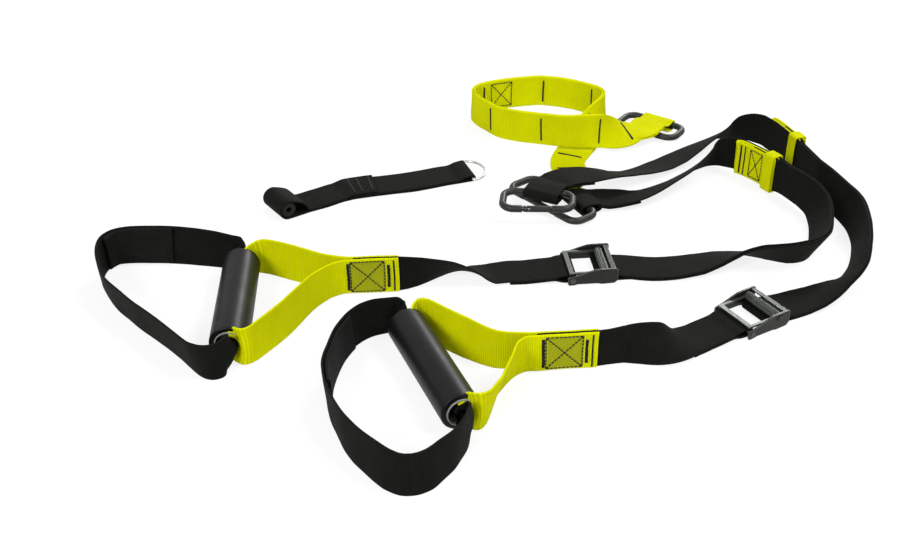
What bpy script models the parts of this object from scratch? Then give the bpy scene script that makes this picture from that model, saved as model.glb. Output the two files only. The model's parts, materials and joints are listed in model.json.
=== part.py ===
"""Suspension trainer, laid out on the floor with its straps on edge. Metres, +Z up."""

import math

import bmesh
import bpy
import numpy as np
from mathutils import Matrix, Vector

# Layout: places on the floor are given in cells of this grid
LAYOUT_CELL = 0.100
FLOOR_GAP = 0.0003
WELD = 0.000002

# Webbing, shared by every strap
WEBBING_WIDTH = 0.038
WEBBING_THICKNESS = 0.0020
PLY_GAP = 0.0004
LOOP_CLEARANCE = 0.0004
LOOP_NECK = 0.016
FOLD_SIDE = Vector((0.31, 0.47, 0.83))
FLAT_TURN = 0.02
LOOP_TURNS = (100, 65, 33, 0, -33, -65, -100)
NECK_SHARE = 0.58
NECK_DROP_SHARE = 0.45
PLY_STEP = WEBBING_THICKNESS + PLY_GAP
LOOP_ROOM = WEBBING_THICKNESS / 2 + LOOP_CLEARANCE
SEAM_LENGTH = 0.030
ROW_MAX = 0.020
ROW_MIN = 0.0025
ROW_TURN_DEG = 13
CURL_PARTS = 6

# Handle grip: a foam sleeve on a plastic tube that turns on the webbing inside it
GRIP_LENGTH = 0.132
FOAM_DIAMETER = 0.035
FOAM_CORNER = 0.0012
CORNER_CUT_SHARE = 1 / 3
TUBE_DIAMETER = 0.026
TUBE_BORE = 0.0234
TUBE_PROUD = 0.0012
TUBE_FIT = 0.00015
STRAP_IN_TUBE_RADIUS = 0.0099
CRADLE_IN_TUBE_RADIUS = 0.0067
TURNED_SIDES = 32
PIN_SIDES = 12

# How the webbing leaves the tube: distance out, distance off the axis, and share of its full curl
STRAP_EXIT = (
    (0.0, STRAP_IN_TUBE_RADIUS, 1.0), (0.0016, 0.0099, 0.75), (0.0036, 0.0100, 0.40), (0.0055, 0.0103, 0.12),
)
CRADLE_FAR_EXIT = (
    (0.0, CRADLE_IN_TUBE_RADIUS, 1.0), (0.0040, 0.0067, 0.80), (0.0085, 0.0054, 0.40), (0.0120, 0.0024, 0.15),
    (0.0150, -0.0025, 0.04),
)
CRADLE_NEAR_EXIT = (
    (0.0, CRADLE_IN_TUBE_RADIUS, 1.0), (0.0030, 0.0068, 0.95), (0.0080, 0.0062, 0.60), (0.0130, 0.0040, 0.25),
    (0.0180, 0.0, 0.05),
)

# Foot cradle lining
PAD_THICKNESS = 0.0034
PAD_INSET = 0.0015
PAD_WIDTH = WEBBING_WIDTH - 2 * PAD_INSET

# Cam buckle
BUCKLE_LENGTH = 0.048
BUCKLE_SIDE_GAP = 0.0030
BUCKLE_INNER_WIDTH = WEBBING_WIDTH + 2 * BUCKLE_SIDE_GAP
PLATE_THICKNESS = 0.0016
PLATE_HEIGHT = 0.0165
PLATE_LIFT = 0.0006
BAR_DIAMETER = 0.0050
BAR_HEAD = 0.0008
HOLE_FIT = 0.00015
PIN_DIAMETER = 0.0040
PIN_HEAD_DIAMETER = 0.0066
PIN_HEAD_HEIGHT = 0.0009
ANVIL_LENGTH = 0.0080
ANVIL_THICKNESS = 0.0020
BRIDGE_LENGTH = 0.0040
BRIDGE_SETBACK_SHARE = 1.5
CAM_RADIUS = 0.0042
CAM_TEETH = 16
CAM_TOOTH_DEPTH = 0.0006
CAM_GAP = 0.0004
CAM_SIDE_GAP = 0.0010
LEVER_ARM_WIDTH = 0.0026
LEVER_THICKNESS = 0.0020
THUMB_BAR_LENGTH = 0.0045
THUMB_INSET_SHARE = 1 / 3
ARM_START_SHARE = 1 / 3
SPRING_WIRE = 0.0005
SPRING_RADIUS = 0.0029
SPRING_PITCH = 0.0012
SPRING_CURLS = 4
SPRING_POINTS = 9
SPRING_POCKET_FIT = 0.0003

# Carabiners
ROD_DIAMETER = 0.0076
CARABINER_LENGTH = 0.072
LONG_CARABINER_LENGTH = 0.100
CARABINER_WIDTH = 0.038
CARABINER_CORNER = 0.0115
CARABINER_NARROWING = 0.006
GATE_DIAMETER = 0.0068
GATE_END_GAP = 0.0004
GATE_SIDE_GAP = 0.0004
TANG_THICKNESS = 0.0030
TANG_REACH = 0.0040
TANG_END = 0.0024
TANG_HALF_WIDTH = 0.0027
GATE_CHEEK = 0.0024
GATE_PIN_DIAMETER = 0.0022
CORNER_POINTS = 7
GATE_SPRING_WIRE = 0.0005
GATE_SPRING_RADIUS = 0.0013
GATE_SPRING_PITCH = 0.0011
GATE_SPRING_CURLS = 5
GATE_SPRING_POINTS = 8
GATE_BORE_FIT = 0.0003

# Adjuster tabs on the strap tails, with the keeper that holds them to the strap
KEEPER_WIDTH = 0.014
KEEPER_CORNER = 0.0022
KEEPER_GAP = 0.0006
TAB_LENGTH = 0.064
TAIL_IN_TAB = 0.034
TAB_STEP_LENGTH = 0.010
KEEPER_PARTS = 3

# Door anchor
ROLLER_DIAMETER = 0.0165
ROLLER_INSET = 0.0010
ROLLER_LENGTH = WEBBING_WIDTH - 2 * ROLLER_INSET
ROLLER_BORE = 0.0055
RING_WIRE = 0.0030
RING_SIDE_GAP = 0.0015
RING_INNER_WIDTH = WEBBING_WIDTH + 2 * RING_SIDE_GAP
RING_CORNER = 0.0018
RING_DEPTH = 0.0200
RING_PARTS = 16

# Places: x and y in layout cells, then degrees
GRIP_L_PLACE_SHARE = (-2.05, -0.72)
GRIP_L_YAW = 93.4
GRIP_R_PLACE_SHARE = (-0.24, -1.69)
GRIP_R_YAW = 112.0
BUCKLE_L_PLACE_SHARE = (1.24, 0.06)
BUCKLE_L_YAW = 6.0
BUCKLE_R_PLACE_SHARE = (2.66, -0.76)
BUCKLE_R_YAW = 31.0
CARABINER_1_PLACE_SHARE = (0.80, 1.13)
CARABINER_1_YAW = -6.0
CARABINER_2_PLACE_SHARE = (0.965, 1.35)
CARABINER_2_YAW = -52.0
CARABINER_3_PLACE_SHARE = (2.22, 3.09)
CARABINER_3_YAW = -35.0
ROLLER_PLACE_SHARE = (-1.88, 1.21)
ROLLER_YAW = 36.0
RING_PLACE_SHARE = (0.07, 2.05)
RING_YAW = 20.0

# Routes: x, y in cells, lean in degrees to the left of travel, lift in webbing widths
CRADLE_L_ROUTE_SHARES = (
    (-2.045, -1.625, 0, 0), (-2.115, -1.66, 2, 0), (-2.20, -1.65, 6, 0), (-2.29, -1.59, 10, 0),
    (-2.46, -1.40, 12, 0), (-2.66, -1.19, 12, 0), (-2.86, -1.00, 12, 0), (-3.05, -0.79, 12, 0),
    (-3.22, -0.59, 10, 0), (-3.37, -0.32, 5, 0), (-3.44, -0.12, 2, 0), (-3.44, 0.08, 4, 0),
    (-3.36, 0.20, 8, 0), (-3.21, 0.25, 14, 0), (-3.03, 0.26, 16, 0), (-2.80, 0.25, 16, 0),
    (-2.56, 0.21, 14, 0), (-2.36, 0.16, 8, 0), (-2.19, 0.105, 2, 0),
)
HANDLE_L_FAR_SHARES = (
    (-1.10, -0.272, 0, 0), (-1.28, -0.225, 0, 0), (-1.46, -0.15, -6, 0), (-1.63, -0.07, -8, 0),
    (-1.79, 0.002, -6, 0), (-1.90, 0.038, -3, 0), (-1.955, 0.052, 0, 0),
)
HANDLE_L_NEAR_SHARES = (
    (-1.873, -1.478, 0, 0), (-1.840, -1.460, 1, 0), (-1.775, -1.355, 4, 0), (-1.65, -1.155, 5, 0),
    (-1.56, -1.00, 5, 0), (-1.46, -0.79, 4, 0), (-1.34, -0.56, 2, 0), (-1.22, -0.41, 0, 0),
    (-1.10, -0.335, 0, 0),
)
BOX_L_SHARES = ((-1.00, -0.300), (-0.58, -0.270))
CRADLE_R_ROUTE_SHARES = (
    (0.04, -2.585, 0, 0), (-0.005, -2.69, 0, 0), (-0.06, -2.79, -3, 0), (-0.135, -2.88, -6, 0),
    (-0.22, -2.98, -8, 0), (-0.33, -3.05, -8, 0), (-0.45, -3.06, -8, 0), (-0.57, -2.99, -8, 0),
    (-0.68, -2.88, -6, 0), (-0.80, -2.74, -3, 0), (-0.92, -2.56, 0, 0), (-1.01, -2.36, 3, 0),
    (-1.09, -2.13, 4, 0), (-1.13, -1.90, 4, 0), (-1.11, -1.66, 4, 0), (-1.06, -1.41, 5, 0),
    (-0.98, -1.21, 6, 0), (-0.88, -1.07, 6, 0), (-0.76, -0.99, 4, 0), (-0.63, -0.955, 0, 0),
)
HANDLE_R_FAR_SHARES = (
    (0.56, -1.482, 0, 0), (0.41, -1.49, -3, 0), (0.30, -1.47, -6, 0), (0.18, -1.40, -10, 0),
    (0.04, -1.29, -16, 0), (-0.10, -1.18, -16, 0), (-0.21, -1.075, -12, 0), (-0.295, -0.99, -6, 0),
    (-0.369, -0.930, 0, 0), (-0.405, -0.928, 0, 0),
)
HANDLE_R_NEAR_SHARES = (
    (0.158, -2.354, 0, 0), (0.188, -2.330, -2, 0), (0.238, -2.225, -8, 0), (0.30, -2.06, -14, 0),
    (0.34, -1.91, -16, 0), (0.40, -1.77, -12, 0), (0.47, -1.62, -4, 0), (0.56, -1.540, 0, 0),
)
BOX_R_SHARES = ((0.66, -1.505), (1.18, -1.455))
LOWER_L_ROUTE_SHARES = (
    (-0.50, -0.26, -5, 0), (-0.39, -0.235, -14, 0), (-0.27, -0.20, -26, 0), (-0.12, -0.14, -40, 0),
    (0.02, -0.09, -56, 0), (0.17, -0.04, -74, 0), (0.31, -0.02, -88, 0.03), (0.46, 0.00, -90, 0.065),
    (0.62, 0.01, -90, 0.07), (0.76, 0.02, -90, 0.10),
)
LOWER_R_ROUTE_SHARES = (
    (1.28, -1.435, 0, 0), (1.42, -1.40, 4, 0), (1.58, -1.375, 18, 0), (1.74, -1.34, 38, 0),
    (1.88, -1.265, 62, 0.04), (2.00, -1.17, 84, 0.09), (2.12, -1.085, 90, 0.10), (2.21, -1.025, 90, 0.10),
)
UPPER_L_ROUTE_SHARES = (
    (1.65, 0.10, 90, 0), (1.86, 0.07, 90, 0), (2.08, 0.08, 92, 0), (2.31, 0.13, 96, 0),
    (2.52, 0.18, 106, 0), (2.75, 0.20, 122, 0), (2.96, 0.16, 138, 0), (3.18, 0.12, 148, 0),
    (3.37, 0.16, 152, 0), (3.51, 0.29, 152, 0), (3.58, 0.50, 152, 0), (3.64, 0.73, 154, 0),
    (3.66, 0.94, 158, 0.03), (3.63, 1.12, 168, 0.08), (3.55, 1.29, 178, 0.11), (3.46, 1.46, 180, 0.11),
    (3.35, 1.67, 180, 0.11), (3.22, 1.87, 180, 0.11), (3.09, 2.02, 180, 0.11), (2.98, 2.11, 184, 0.08),
)
FREE_L_ROUTE_SHARES = (
    (2.87, 2.15, 192, 0.04), (2.75, 2.11, 206, 0), (2.61, 1.98, 218, 0), (2.46, 1.84, 228, 0),
    (2.30, 1.70, 234, 0), (2.15, 1.59, 240, 0), (1.98, 1.48, 248, 0.01), (1.82, 1.42, 258, 0.06),
    (1.68, 1.41, 266, 0.11), (1.55, 1.40, 270, 0.14),
)
UPPER_R_ROUTE_SHARES = (
    (3.02, -0.57, 90, 0), (3.16, -0.51, 92, 0), (3.30, -0.46, 98, 0), (3.43, -0.40, 108, 0),
    (3.54, -0.34, 120, 0), (3.64, -0.28, 132, 0), (3.74, -0.17, 144, 0), (3.84, 0.04, 156, 0),
    (3.93, 0.29, 163, 0), (3.99, 0.55, 165, 0), (4.01, 0.82, 164, 0), (3.98, 1.03, 162, 0),
    (3.92, 1.22, 162, 0.02), (3.85, 1.42, 168, 0.05), (3.79, 1.62, 178, 0.09), (3.735, 1.84, 180, 0.11),
    (3.675, 2.06, 180, 0.11), (3.605, 2.28, 180, 0.11), (3.535, 2.48, 180, 0.11), (3.46, 2.65, 181, 0.11),
)
FREE_R_ROUTE_SHARES = (
    (3.35, 2.76, 188, 0.07), (3.22, 2.81, 200, 0.03), (3.08, 2.80, 218, 0), (2.97, 2.76, 228, 0),
    (2.85, 2.68, 234, 0), (2.72, 2.57, 240, 0), (2.57, 2.44, 248, 0), (2.40, 2.30, 256, 0),
    (2.22, 2.15, 258, 0), (2.03, 2.00, 254, 0.02), (1.84, 1.87, 250, 0.08), (1.66, 1.78, 252, 0.20),
    (1.51, 1.745, 260, 0.31), (1.37, 1.715, 268, 0.40), (1.235, 1.67, 270, 0.46),
    (1.11, 1.605, 270, 0.488),
)
ANCHOR_ROUTE_SHARES = (
    (1.17, 1.84, 90, 0.08), (1.205, 1.98, 90, 0.03), (1.20, 2.14, 90, 0), (1.20, 2.31, 90, 0),
    (1.27, 2.49, 88, 0), (1.38, 2.70, 76, 0), (1.50, 2.90, 52, 0),
    (1.61, 3.08, 26, 0), (1.68, 3.25, 10, 0), (1.69, 3.41, 2, 0), (1.63, 3.53, 0, 0),
    (1.53, 3.61, 0, 0), (1.36, 3.71, 0, 0), (1.16, 3.79, 0, 0), (0.95, 3.83, 0, 0),
    (0.76, 3.80, 0, 0), (0.56, 3.75, 0, 0), (0.37, 3.68, 0, 0), (0.22, 3.59, 0, 0),
    (0.15, 3.46, 0, 0), (0.19, 3.30, 0, 0), (0.30, 3.11, 0, 0.03), (0.44, 2.91, 0, 0.07),
    (0.63, 2.77, 0, 0.12), (0.85, 2.67, 0, 0.17), (1.07, 2.58, 2, 0.21), (1.27, 2.55, 4, 0.22),
    (1.45, 2.57, 10, 0.20), (1.61, 2.62, 22, 0.14), (1.75, 2.68, 42, 0.10), (1.87, 2.745, 62, 0.14),
    (1.965, 2.81, 82, 0.25),
)
DOOR_ROUTE_SHARES = (
    (-1.50, 1.46, 90, 0), (-1.34, 1.57, 90, 0), (-1.17, 1.655, 90, 0), (-1.00, 1.705, 90, 0),
    (-0.80, 1.755, 90, 0), (-0.58, 1.81, 90, 0), (-0.36, 1.89, 90, 0), (-0.20, 1.955, 90, 0),
)
ANCHOR_LOOP_SHARE = -0.19
ANCHOR_SKEW = 0.0
STRAP_2_LOOP_SHARE = 0.21
STRAP_2_SKEW = -10.0
STRAP_1_LOOP_SHARE = 0.08
STRAP_1_SKEW = -20.0
ANCHOR_FINISH_SHARE = 0.02
PLUNGE_SHARE = 0.60
DOOR_SEAM_SHARE = 0.24
PAD_L_SPAN_SHARES = (0.60, 0.83)
PAD_R_SPAN_SHARES = (0.62, 0.86)
LEAVING_SHARES = (1.0, 0.8, 0.5, 0.2)

# Shares of the buckle's length and plate height, from its left end and bottom
PLATE_OUTLINE_SHARES = (
    (0.02, 0.00), (0.00, 0.10), (0.00, 0.48), (0.05, 0.54), (0.20, 0.64), (0.42, 0.86),
    (0.56, 0.98), (0.66, 1.00), (0.96, 1.00), (1.00, 0.92), (1.00, 0.20), (0.94, 0.03),
    (0.68, 0.00), (0.60, 0.06), (0.20, 0.06), (0.12, 0.00),
)
BAR_PLACE_SHARE = 0.10
PIN_PLACE_SHARE = 0.76
GATE_START_SHARE = 0.17
GATE_STOP_SHARE = 0.80

BLACK_WEBBING = ((0.014, 0.014, 0.013), 0.9, 0.0)
YELLOW_WEBBING = ((0.46, 0.47, 0.005), 0.85, 0.0)
BLACK_FOAM = ((0.018, 0.019, 0.018), 0.8, 0.0)
GREY_PLASTIC = ((0.20, 0.20, 0.19), 0.5, 0.0)
BLACK_COATED_STEEL = ((0.035, 0.036, 0.033), 0.45, 0.0)
ZINC_STEEL = ((0.42, 0.43, 0.40), 0.35, 1.0)
SPRING_STEEL = ((0.55, 0.55, 0.52), 0.3, 1.0)


def wipe_scene():
    for obj in list(bpy.data.objects):
        bpy.data.objects.remove(obj, do_unlink=True)


wipe_scene()
TRAINER = bpy.data.collections.new("suspension_trainer")
bpy.context.scene.collection.children.link(TRAINER)
CUTTERS = bpy.data.collections.new("cutters")
bpy.context.scene.collection.children.link(CUTTERS)
LAYOUT = bpy.data.objects.new("layout", None)
TRAINER.objects.link(LAYOUT)


def finish_of(name, look):
    colour, roughness, metallic = look
    material = bpy.data.materials.new(name)
    material.use_nodes = True
    shader = material.node_tree.nodes["Principled BSDF"]
    shader.inputs["Base Color"].default_value = (*colour, 1)
    shader.inputs["Roughness"].default_value = roughness
    shader.inputs["Metallic"].default_value = metallic
    return material


def place(obj, name, look, parent=None, smooth=False):
    obj.name = name
    obj.data.materials.clear()
    obj.data.materials.append(finish_of(name, look))
    TRAINER.objects.link(obj)
    obj.parent = parent or LAYOUT
    if smooth:
        for face in obj.data.polygons:
            face.use_smooth = True
    return obj


def cutter(obj):
    CUTTERS.objects.link(obj)
    obj.hide_render = True
    obj.display_type = "WIRE"
    return obj


def combine(obj, other, operation):
    change = obj.modifiers.new(operation.lower(), "BOOLEAN")
    change.operation = operation
    change.solver = "EXACT"
    change.object = other
    return obj


def mesh_object(name, bm):
    bmesh.ops.recalc_face_normals(bm, faces=bm.faces)
    mesh = bpy.data.meshes.new(name)
    bm.to_mesh(mesh)
    bm.free()
    return bpy.data.objects.new(name, mesh)


def box(name, low, high):
    """A box between two corners."""
    low, high = Vector(low), Vector(high)
    bm = bmesh.new()
    bmesh.ops.create_cube(bm, size=1)
    to_size = Matrix.Diagonal((*(high - low), 1))
    bmesh.ops.transform(bm, matrix=Matrix.Translation((low + high) / 2) @ to_size, verts=bm.verts)
    return mesh_object(name, bm)


def rod(name, diameter, start, end, sides=TURNED_SIDES // 2):
    """A plain cylinder from one point to another."""
    start, end = Vector(start), Vector(end)
    run = end - start
    bm = bmesh.new()
    bmesh.ops.create_cone(bm, cap_ends=True, segments=sides, radius1=diameter / 2, radius2=diameter / 2,
                          depth=run.length)
    turn = Vector((0, 0, 1)).rotation_difference(run).to_matrix().to_4x4()
    bmesh.ops.transform(bm, matrix=Matrix.Translation((start + end) / 2) @ turn, verts=bm.verts)
    return mesh_object(name, bm)


def turned(name, outline, sides=TURNED_SIDES):
    """An outline of (along, radius) points turned about the local X axis with a Screw modifier."""
    mesh = bpy.data.meshes.new(name)
    points = [(along, radius, 0) for along, radius in outline]
    last = len(points) - 1
    edges = [(i, i + 1) for i in range(last)]
    if outline[0][1] > 0:
        edges.append((last, 0))
    mesh.from_pydata(points, edges, [])
    obj = bpy.data.objects.new(name, mesh)
    spin = obj.modifiers.new("turn", "SCREW")
    spin.axis = "X"
    spin.steps = sides
    spin.render_steps = sides
    spin.use_merge_vertices = True
    spin.merge_threshold = 0.00001
    spin.use_normal_calculate = False
    spin.use_normal_flip = True
    return obj


def swept_rod(name, points, radius, closed=False, resolution=2):
    """A round rod along a route, as a mesh."""
    curve = bpy.data.curves.new(name, "CURVE")
    curve.dimensions = "3D"
    curve.bevel_depth = radius
    curve.bevel_resolution = resolution
    curve.use_fill_caps = True
    spline = curve.splines.new("POLY")
    spline.points.add(len(points) - 1)
    for knot, point in zip(spline.points, points):
        knot.co = (*point, 1)
    spline.use_cyclic_u = closed
    holder = bpy.data.objects.new(name + "_route", curve)
    bpy.context.scene.collection.objects.link(holder)
    shape = holder.evaluated_get(bpy.context.evaluated_depsgraph_get())
    mesh = bpy.data.meshes.new_from_object(shape)
    bpy.data.objects.remove(holder, do_unlink=True)
    bm = bmesh.new()
    bm.from_mesh(mesh)
    bmesh.ops.remove_doubles(bm, verts=bm.verts, dist=WELD)
    bmesh.ops.recalc_face_normals(bm, faces=bm.faces)
    bm.to_mesh(mesh)
    bm.free()
    return bpy.data.objects.new(name, mesh)


def helix(radius, pitch, curls, points):
    """Points of a coil round the local X axis, centred on the origin."""
    count = curls * points + 1
    steps = np.arange(count)
    turn = 2 * math.pi * steps / points
    along = pitch * (steps / points - curls / 2)
    return [Vector((a, radius * math.cos(t), radius * math.sin(t))) for a, t in zip(along, turn)]


def coil_gap(points, per_curl, wire):
    """The least gap between neighbouring curls, from points one curl apart or nearly so."""
    least = min((points[i] - points[j]).length for i in range(len(points))
                for j in range(i + per_curl - 1, len(points)))
    return least - wire


def frame(place_share, yaw, height):
    x_share, y_share = place_share
    move = Matrix.Translation((x_share * LAYOUT_CELL, y_share * LAYOUT_CELL, height))
    return move @ Matrix.Rotation(math.radians(yaw), 4, "Z")


def empty_at(name, matrix):
    holder = bpy.data.objects.new(name, None)
    TRAINER.objects.link(holder)
    holder.parent = LAYOUT
    holder.matrix_local = matrix
    return holder


# Webbing: a station is a point on the strap's centre, the direction of its width and its curl

class Station:
    def __init__(self, point, across, curl=0.0):
        self.point = Vector(point)
        self.across = Vector(across).normalized()
        self.curl = curl


def route(table, plies=1):
    """Stations on the floor from a table of x, y, lean and lift, at the middle of a stack of plies."""
    spots = [Vector((x_share * LAYOUT_CELL, y_share * LAYOUT_CELL, 0)) for x_share, y_share, *rest in table]
    stations = []
    for i, (x_share, y_share, lean, lift_share) in enumerate(table):
        travel = (spots[min(i + 1, len(spots) - 1)] - spots[max(i - 1, 0)]).normalized()
        left = Vector((0, 0, 1)).cross(travel)
        lean = math.radians(lean)
        across = math.cos(lean) * Vector((0, 0, 1)) + math.sin(lean) * left
        reach = WEBBING_WIDTH * abs(math.cos(lean)) + WEBBING_THICKNESS * abs(math.sin(lean))
        stack = (plies - 1) * PLY_STEP / 2 * abs(math.sin(lean))
        height = FLOOR_GAP + reach / 2 + stack + lift_share * WEBBING_WIDTH
        stations.append(Station(spots[i] + Vector((0, 0, height)), across))
    return stations


def back(stations):
    return stations[::-1]


def joined(*parts):
    """Parts of one strap end to end, each with its width direction kept to the same side."""
    stations = list(parts[0])
    for part in parts[1:]:
        sign = 1 if part[0].across.dot(stations[-1].across) > 0 else -1
        stations += [Station(s.point, s.across * sign, s.curl) for s in part]
    return stations


def onward(rows, stations):
    """Finished rows, carried on smoothly through more stations."""
    more = smooth_route(joined(rows[-2:], stations))
    start = min(range(len(more)), key=lambda i: (more[i].point - rows[-1].point).length) + 1
    return rows + more[start:]


def travel_at(stations, i, closed=False):
    """The direction in which the strap runs at one station."""
    if closed:
        before, after = stations[i - 1], stations[(i + 1) % len(stations)]
    else:
        before, after = stations[max(i - 1, 0)], stations[min(i + 1, len(stations) - 1)]
    return (after.point - before.point).normalized()


def facing(stations, i):
    """The direction square to the strap's face at one station."""
    return travel_at(stations, i).cross(stations[i].across).normalized()


def cut(stations, start, end):
    """The stations between two distances along a strap, counted from its first station."""
    kept, walked = [], 0.0
    for a, b in zip(stations, stations[1:]):
        span = (b.point - a.point).length
        for mark in (start, end):
            if walked <= mark <= walked + span and span > 0:
                kept.append(between(a, b, (mark - walked) / span))
        walked += span
        if start + ROW_MIN < walked < end - ROW_MIN:
            kept.append(b)
    return kept


def length_of(stations):
    return sum((b.point - a.point).length for a, b in zip(stations, stations[1:]))


def between(first, second, share):
    return Station(first.point.lerp(second.point, share), first.across.lerp(second.across, share))


def shifted(stations, amount):
    """The same stations moved off to one side, square to the strap's face."""
    moved = []
    for i, station in enumerate(stations):
        moved.append(Station(station.point + facing(stations, i) * amount, station.across, station.curl))
    return moved


def smooth_route(stations, closed=False):
    """A smooth route through the stations, with rows where it bends."""
    count = len(stations)
    spans = count if closed else count - 1

    def pick(i):
        return stations[i % count] if closed else stations[min(max(i, 0), count - 1)]

    def blend(values, t):
        a, b, c, d = values
        return 0.5 * (2 * b + (c - a) * t + (2 * a - 5 * b + 4 * c - d) * t ** 2
                      + (3 * b - a - 3 * c + d) * t ** 3)

    def knots(i):
        """The four values round a span, with the outer ones brought to the span's own length."""
        four = [pick(i + k) for k in (-1, 0, 1, 2)]
        points = [s.point for s in four]
        length = (points[2] - points[1]).length
        for near, far in ((1, 0), (2, 3)):
            step = points[far] - points[near]
            if step.length > length > 0:
                points[far] = points[near] + step.normalized() * length
            elif step.length == 0:
                points[far] = 2 * points[near] - points[3 - near]
        return four, points

    rows = []
    for i in range(spans):
        four, points = knots(i)
        length = (points[2] - points[1]).length
        into = points[2] - points[0]
        out = points[3] - points[1]
        turn = math.degrees(into.angle(out, 0) + four[1].across.angle(four[2].across, 0))
        parts = math.ceil(turn / ROW_TURN_DEG)
        parts = max(parts, math.ceil(length / ROW_MAX) if turn > 1 else 1)
        if abs(four[1].curl - four[2].curl) > 0:
            parts = max(parts, 3)
        parts = max(1, min(parts, math.ceil(length / ROW_MIN)))
        for k in range(parts):
            t = k / parts
            point = blend(points, t)
            across = four[1].across.lerp(four[2].across, t)
            curl = four[1].curl + (four[2].curl - four[1].curl) * (3 - 2 * t) * t * t
            rows.append(Station(point, across, curl))
    if not closed:
        rows.append(Station(stations[-1].point, stations[-1].across, stations[-1].curl))
    squared = []
    for i, row in enumerate(rows):
        travel = travel_at(rows, i, closed)
        squared.append(Station(row.point, row.across - travel * row.across.dot(travel), row.curl))
    return squared


def ribbon(name, rows, look, closed=False, parts=1, width=WEBBING_WIDTH, thickness=WEBBING_THICKNESS):
    """A strap of webbing lofted through its rows, a flat or rolled-up slab at each of them."""
    bm = bmesh.new()
    sections = []
    last = len(rows) - 1
    for i, row in enumerate(rows):
        across = row.across
        face = travel_at(rows, i, closed).cross(across).normalized()
        section = []
        for k in range(parts + 1):
            u = width * (k / parts - 0.5)
            turn = row.curl * u
            if abs(row.curl) * width < FLAT_TURN:
                spot, outward = row.point + across * u, face
            else:
                spot = row.point + across * (math.sin(turn) / row.curl)
                spot += face * ((1 - math.cos(turn)) / row.curl)
                outward = face * math.cos(turn) - across * math.sin(turn)
            step = outward * thickness / 2
            section.append((bm.verts.new(spot + step), bm.verts.new(spot - step), spot))
        sections.append(section)
    for i in range(len(rows) if closed else last):
        here, there = sections[i], sections[(i + 1) % len(rows)]
        for k in range(parts):
            quad = here[k], here[k + 1], there[k + 1], there[k]
            rise = (quad[0][2] + quad[2][2] - quad[1][2] - quad[3][2]).dot(FOLD_SIDE)
            for side in (0, 1):
                a, b, c, d = (corner[side] for corner in quad)
                for corners in ((a, b, c), (a, c, d)) if rise > 0 else ((a, b, d), (b, c, d)):
                    bm.faces.new(corners)
        for k in (0, parts):
            bm.faces.new((here[k][0], there[k][0], there[k][1], here[k][1]))
    if not closed:
        for section in (sections[0], sections[-1]):
            for k in range(parts):
                bm.faces.new((section[k][0], section[k + 1][0], section[k + 1][1], section[k][1]))
    place(mesh_object(name, bm), name, look)
    return rows


def loop_round(centre, heading, radius, spacing, neck, drop=0.0, slack=0.0):
    """Stations out along the upper ply, round a bar and back along the lower ply, with slack past the bar."""
    centre, heading = Vector(centre), Vector(heading).normalized()
    up = Vector((0, 0, 1))
    across = up.cross(heading).normalized()
    half = spacing / 2
    middle = (half + radius) * NECK_SHARE
    near = -slack / 2
    points = [(near - neck, half - drop), (near - (radius + neck) / 2, middle - drop * NECK_DROP_SHARE)]
    if slack > 0:
        points.append((near, radius))
    for degrees in LOOP_TURNS:
        turn = math.radians(degrees)
        points.append((slack / 2 + radius * math.cos(turn), radius * math.sin(turn)))
    if slack > 0:
        points.append((near, -radius))
    points += [(near - (radius + neck) / 2, -middle - drop * NECK_DROP_SHARE), (near - neck, -half - drop)]
    stations = []
    for along, high in points:
        spot = centre + heading * along + up * high
        spot.z = max(spot.z, FLOOR_GAP + WEBBING_THICKNESS / 2)
        stations.append(Station(spot, across))
    return stations


# Grips

def grip(side, place_share, yaw):
    """Foam sleeve and tube, turned about their shared axis; returns the axis frame."""
    axis = frame(place_share, yaw, FLOOR_GAP + FOAM_DIAMETER / 2)
    holder = empty_at("grip_axis_" + side, axis)
    half = GRIP_LENGTH / 2
    inner = TUBE_DIAMETER / 2 + TUBE_FIT
    outer = FOAM_DIAMETER / 2
    corner = FOAM_CORNER
    cut_in = corner * CORNER_CUT_SHARE
    foam = turned("foam_grip_" + side, (
        (-half, inner), (-half, outer - corner), (cut_in - half, outer - cut_in), (corner - half, outer),
        (half - corner, outer), (half - cut_in, outer - cut_in), (half, outer - corner), (half, inner)))
    place(foam, "foam_grip_" + side, BLACK_FOAM, holder)
    reach = half + TUBE_PROUD
    tube = turned("grip_tube_" + side, (
        (-reach, TUBE_BORE / 2), (-reach, TUBE_DIAMETER / 2),
        (reach, TUBE_DIAMETER / 2), (reach, TUBE_BORE / 2)))
    place(tube, "grip_tube_" + side, GREY_PLASTIC, holder)
    return axis


def through_tube(axis, far_exit, near_exit):
    """Stations through a grip from its far end to its near end, rolled up as an open tube."""
    centre = axis.translation
    along = (axis.to_3x3() @ Vector((1, 0, 0))).normalized()
    up = Vector((0, 0, 1))
    side = along.cross(up).normalized()
    half = GRIP_LENGTH / 2 + TUBE_PROUD
    radius = far_exit[0][1]
    steps = [(half + out, off, roll) for out, off, roll in far_exit[::-1]]
    steps += [(half * share, radius, 1) for share in (0.5, -0.5)]
    steps += [(-half - out, off, roll) for out, off, roll in near_exit]
    stations = []
    for reach, off, roll in steps:
        spot = centre + along * reach + side * off
        turn = min(roll / radius * WEBBING_WIDTH / 2, math.pi / 2)
        spot.z = max(spot.z, FLOOR_GAP + math.sin(turn) * radius / roll)
        stations.append(Station(spot, up, roll / radius))
    return stations


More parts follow.
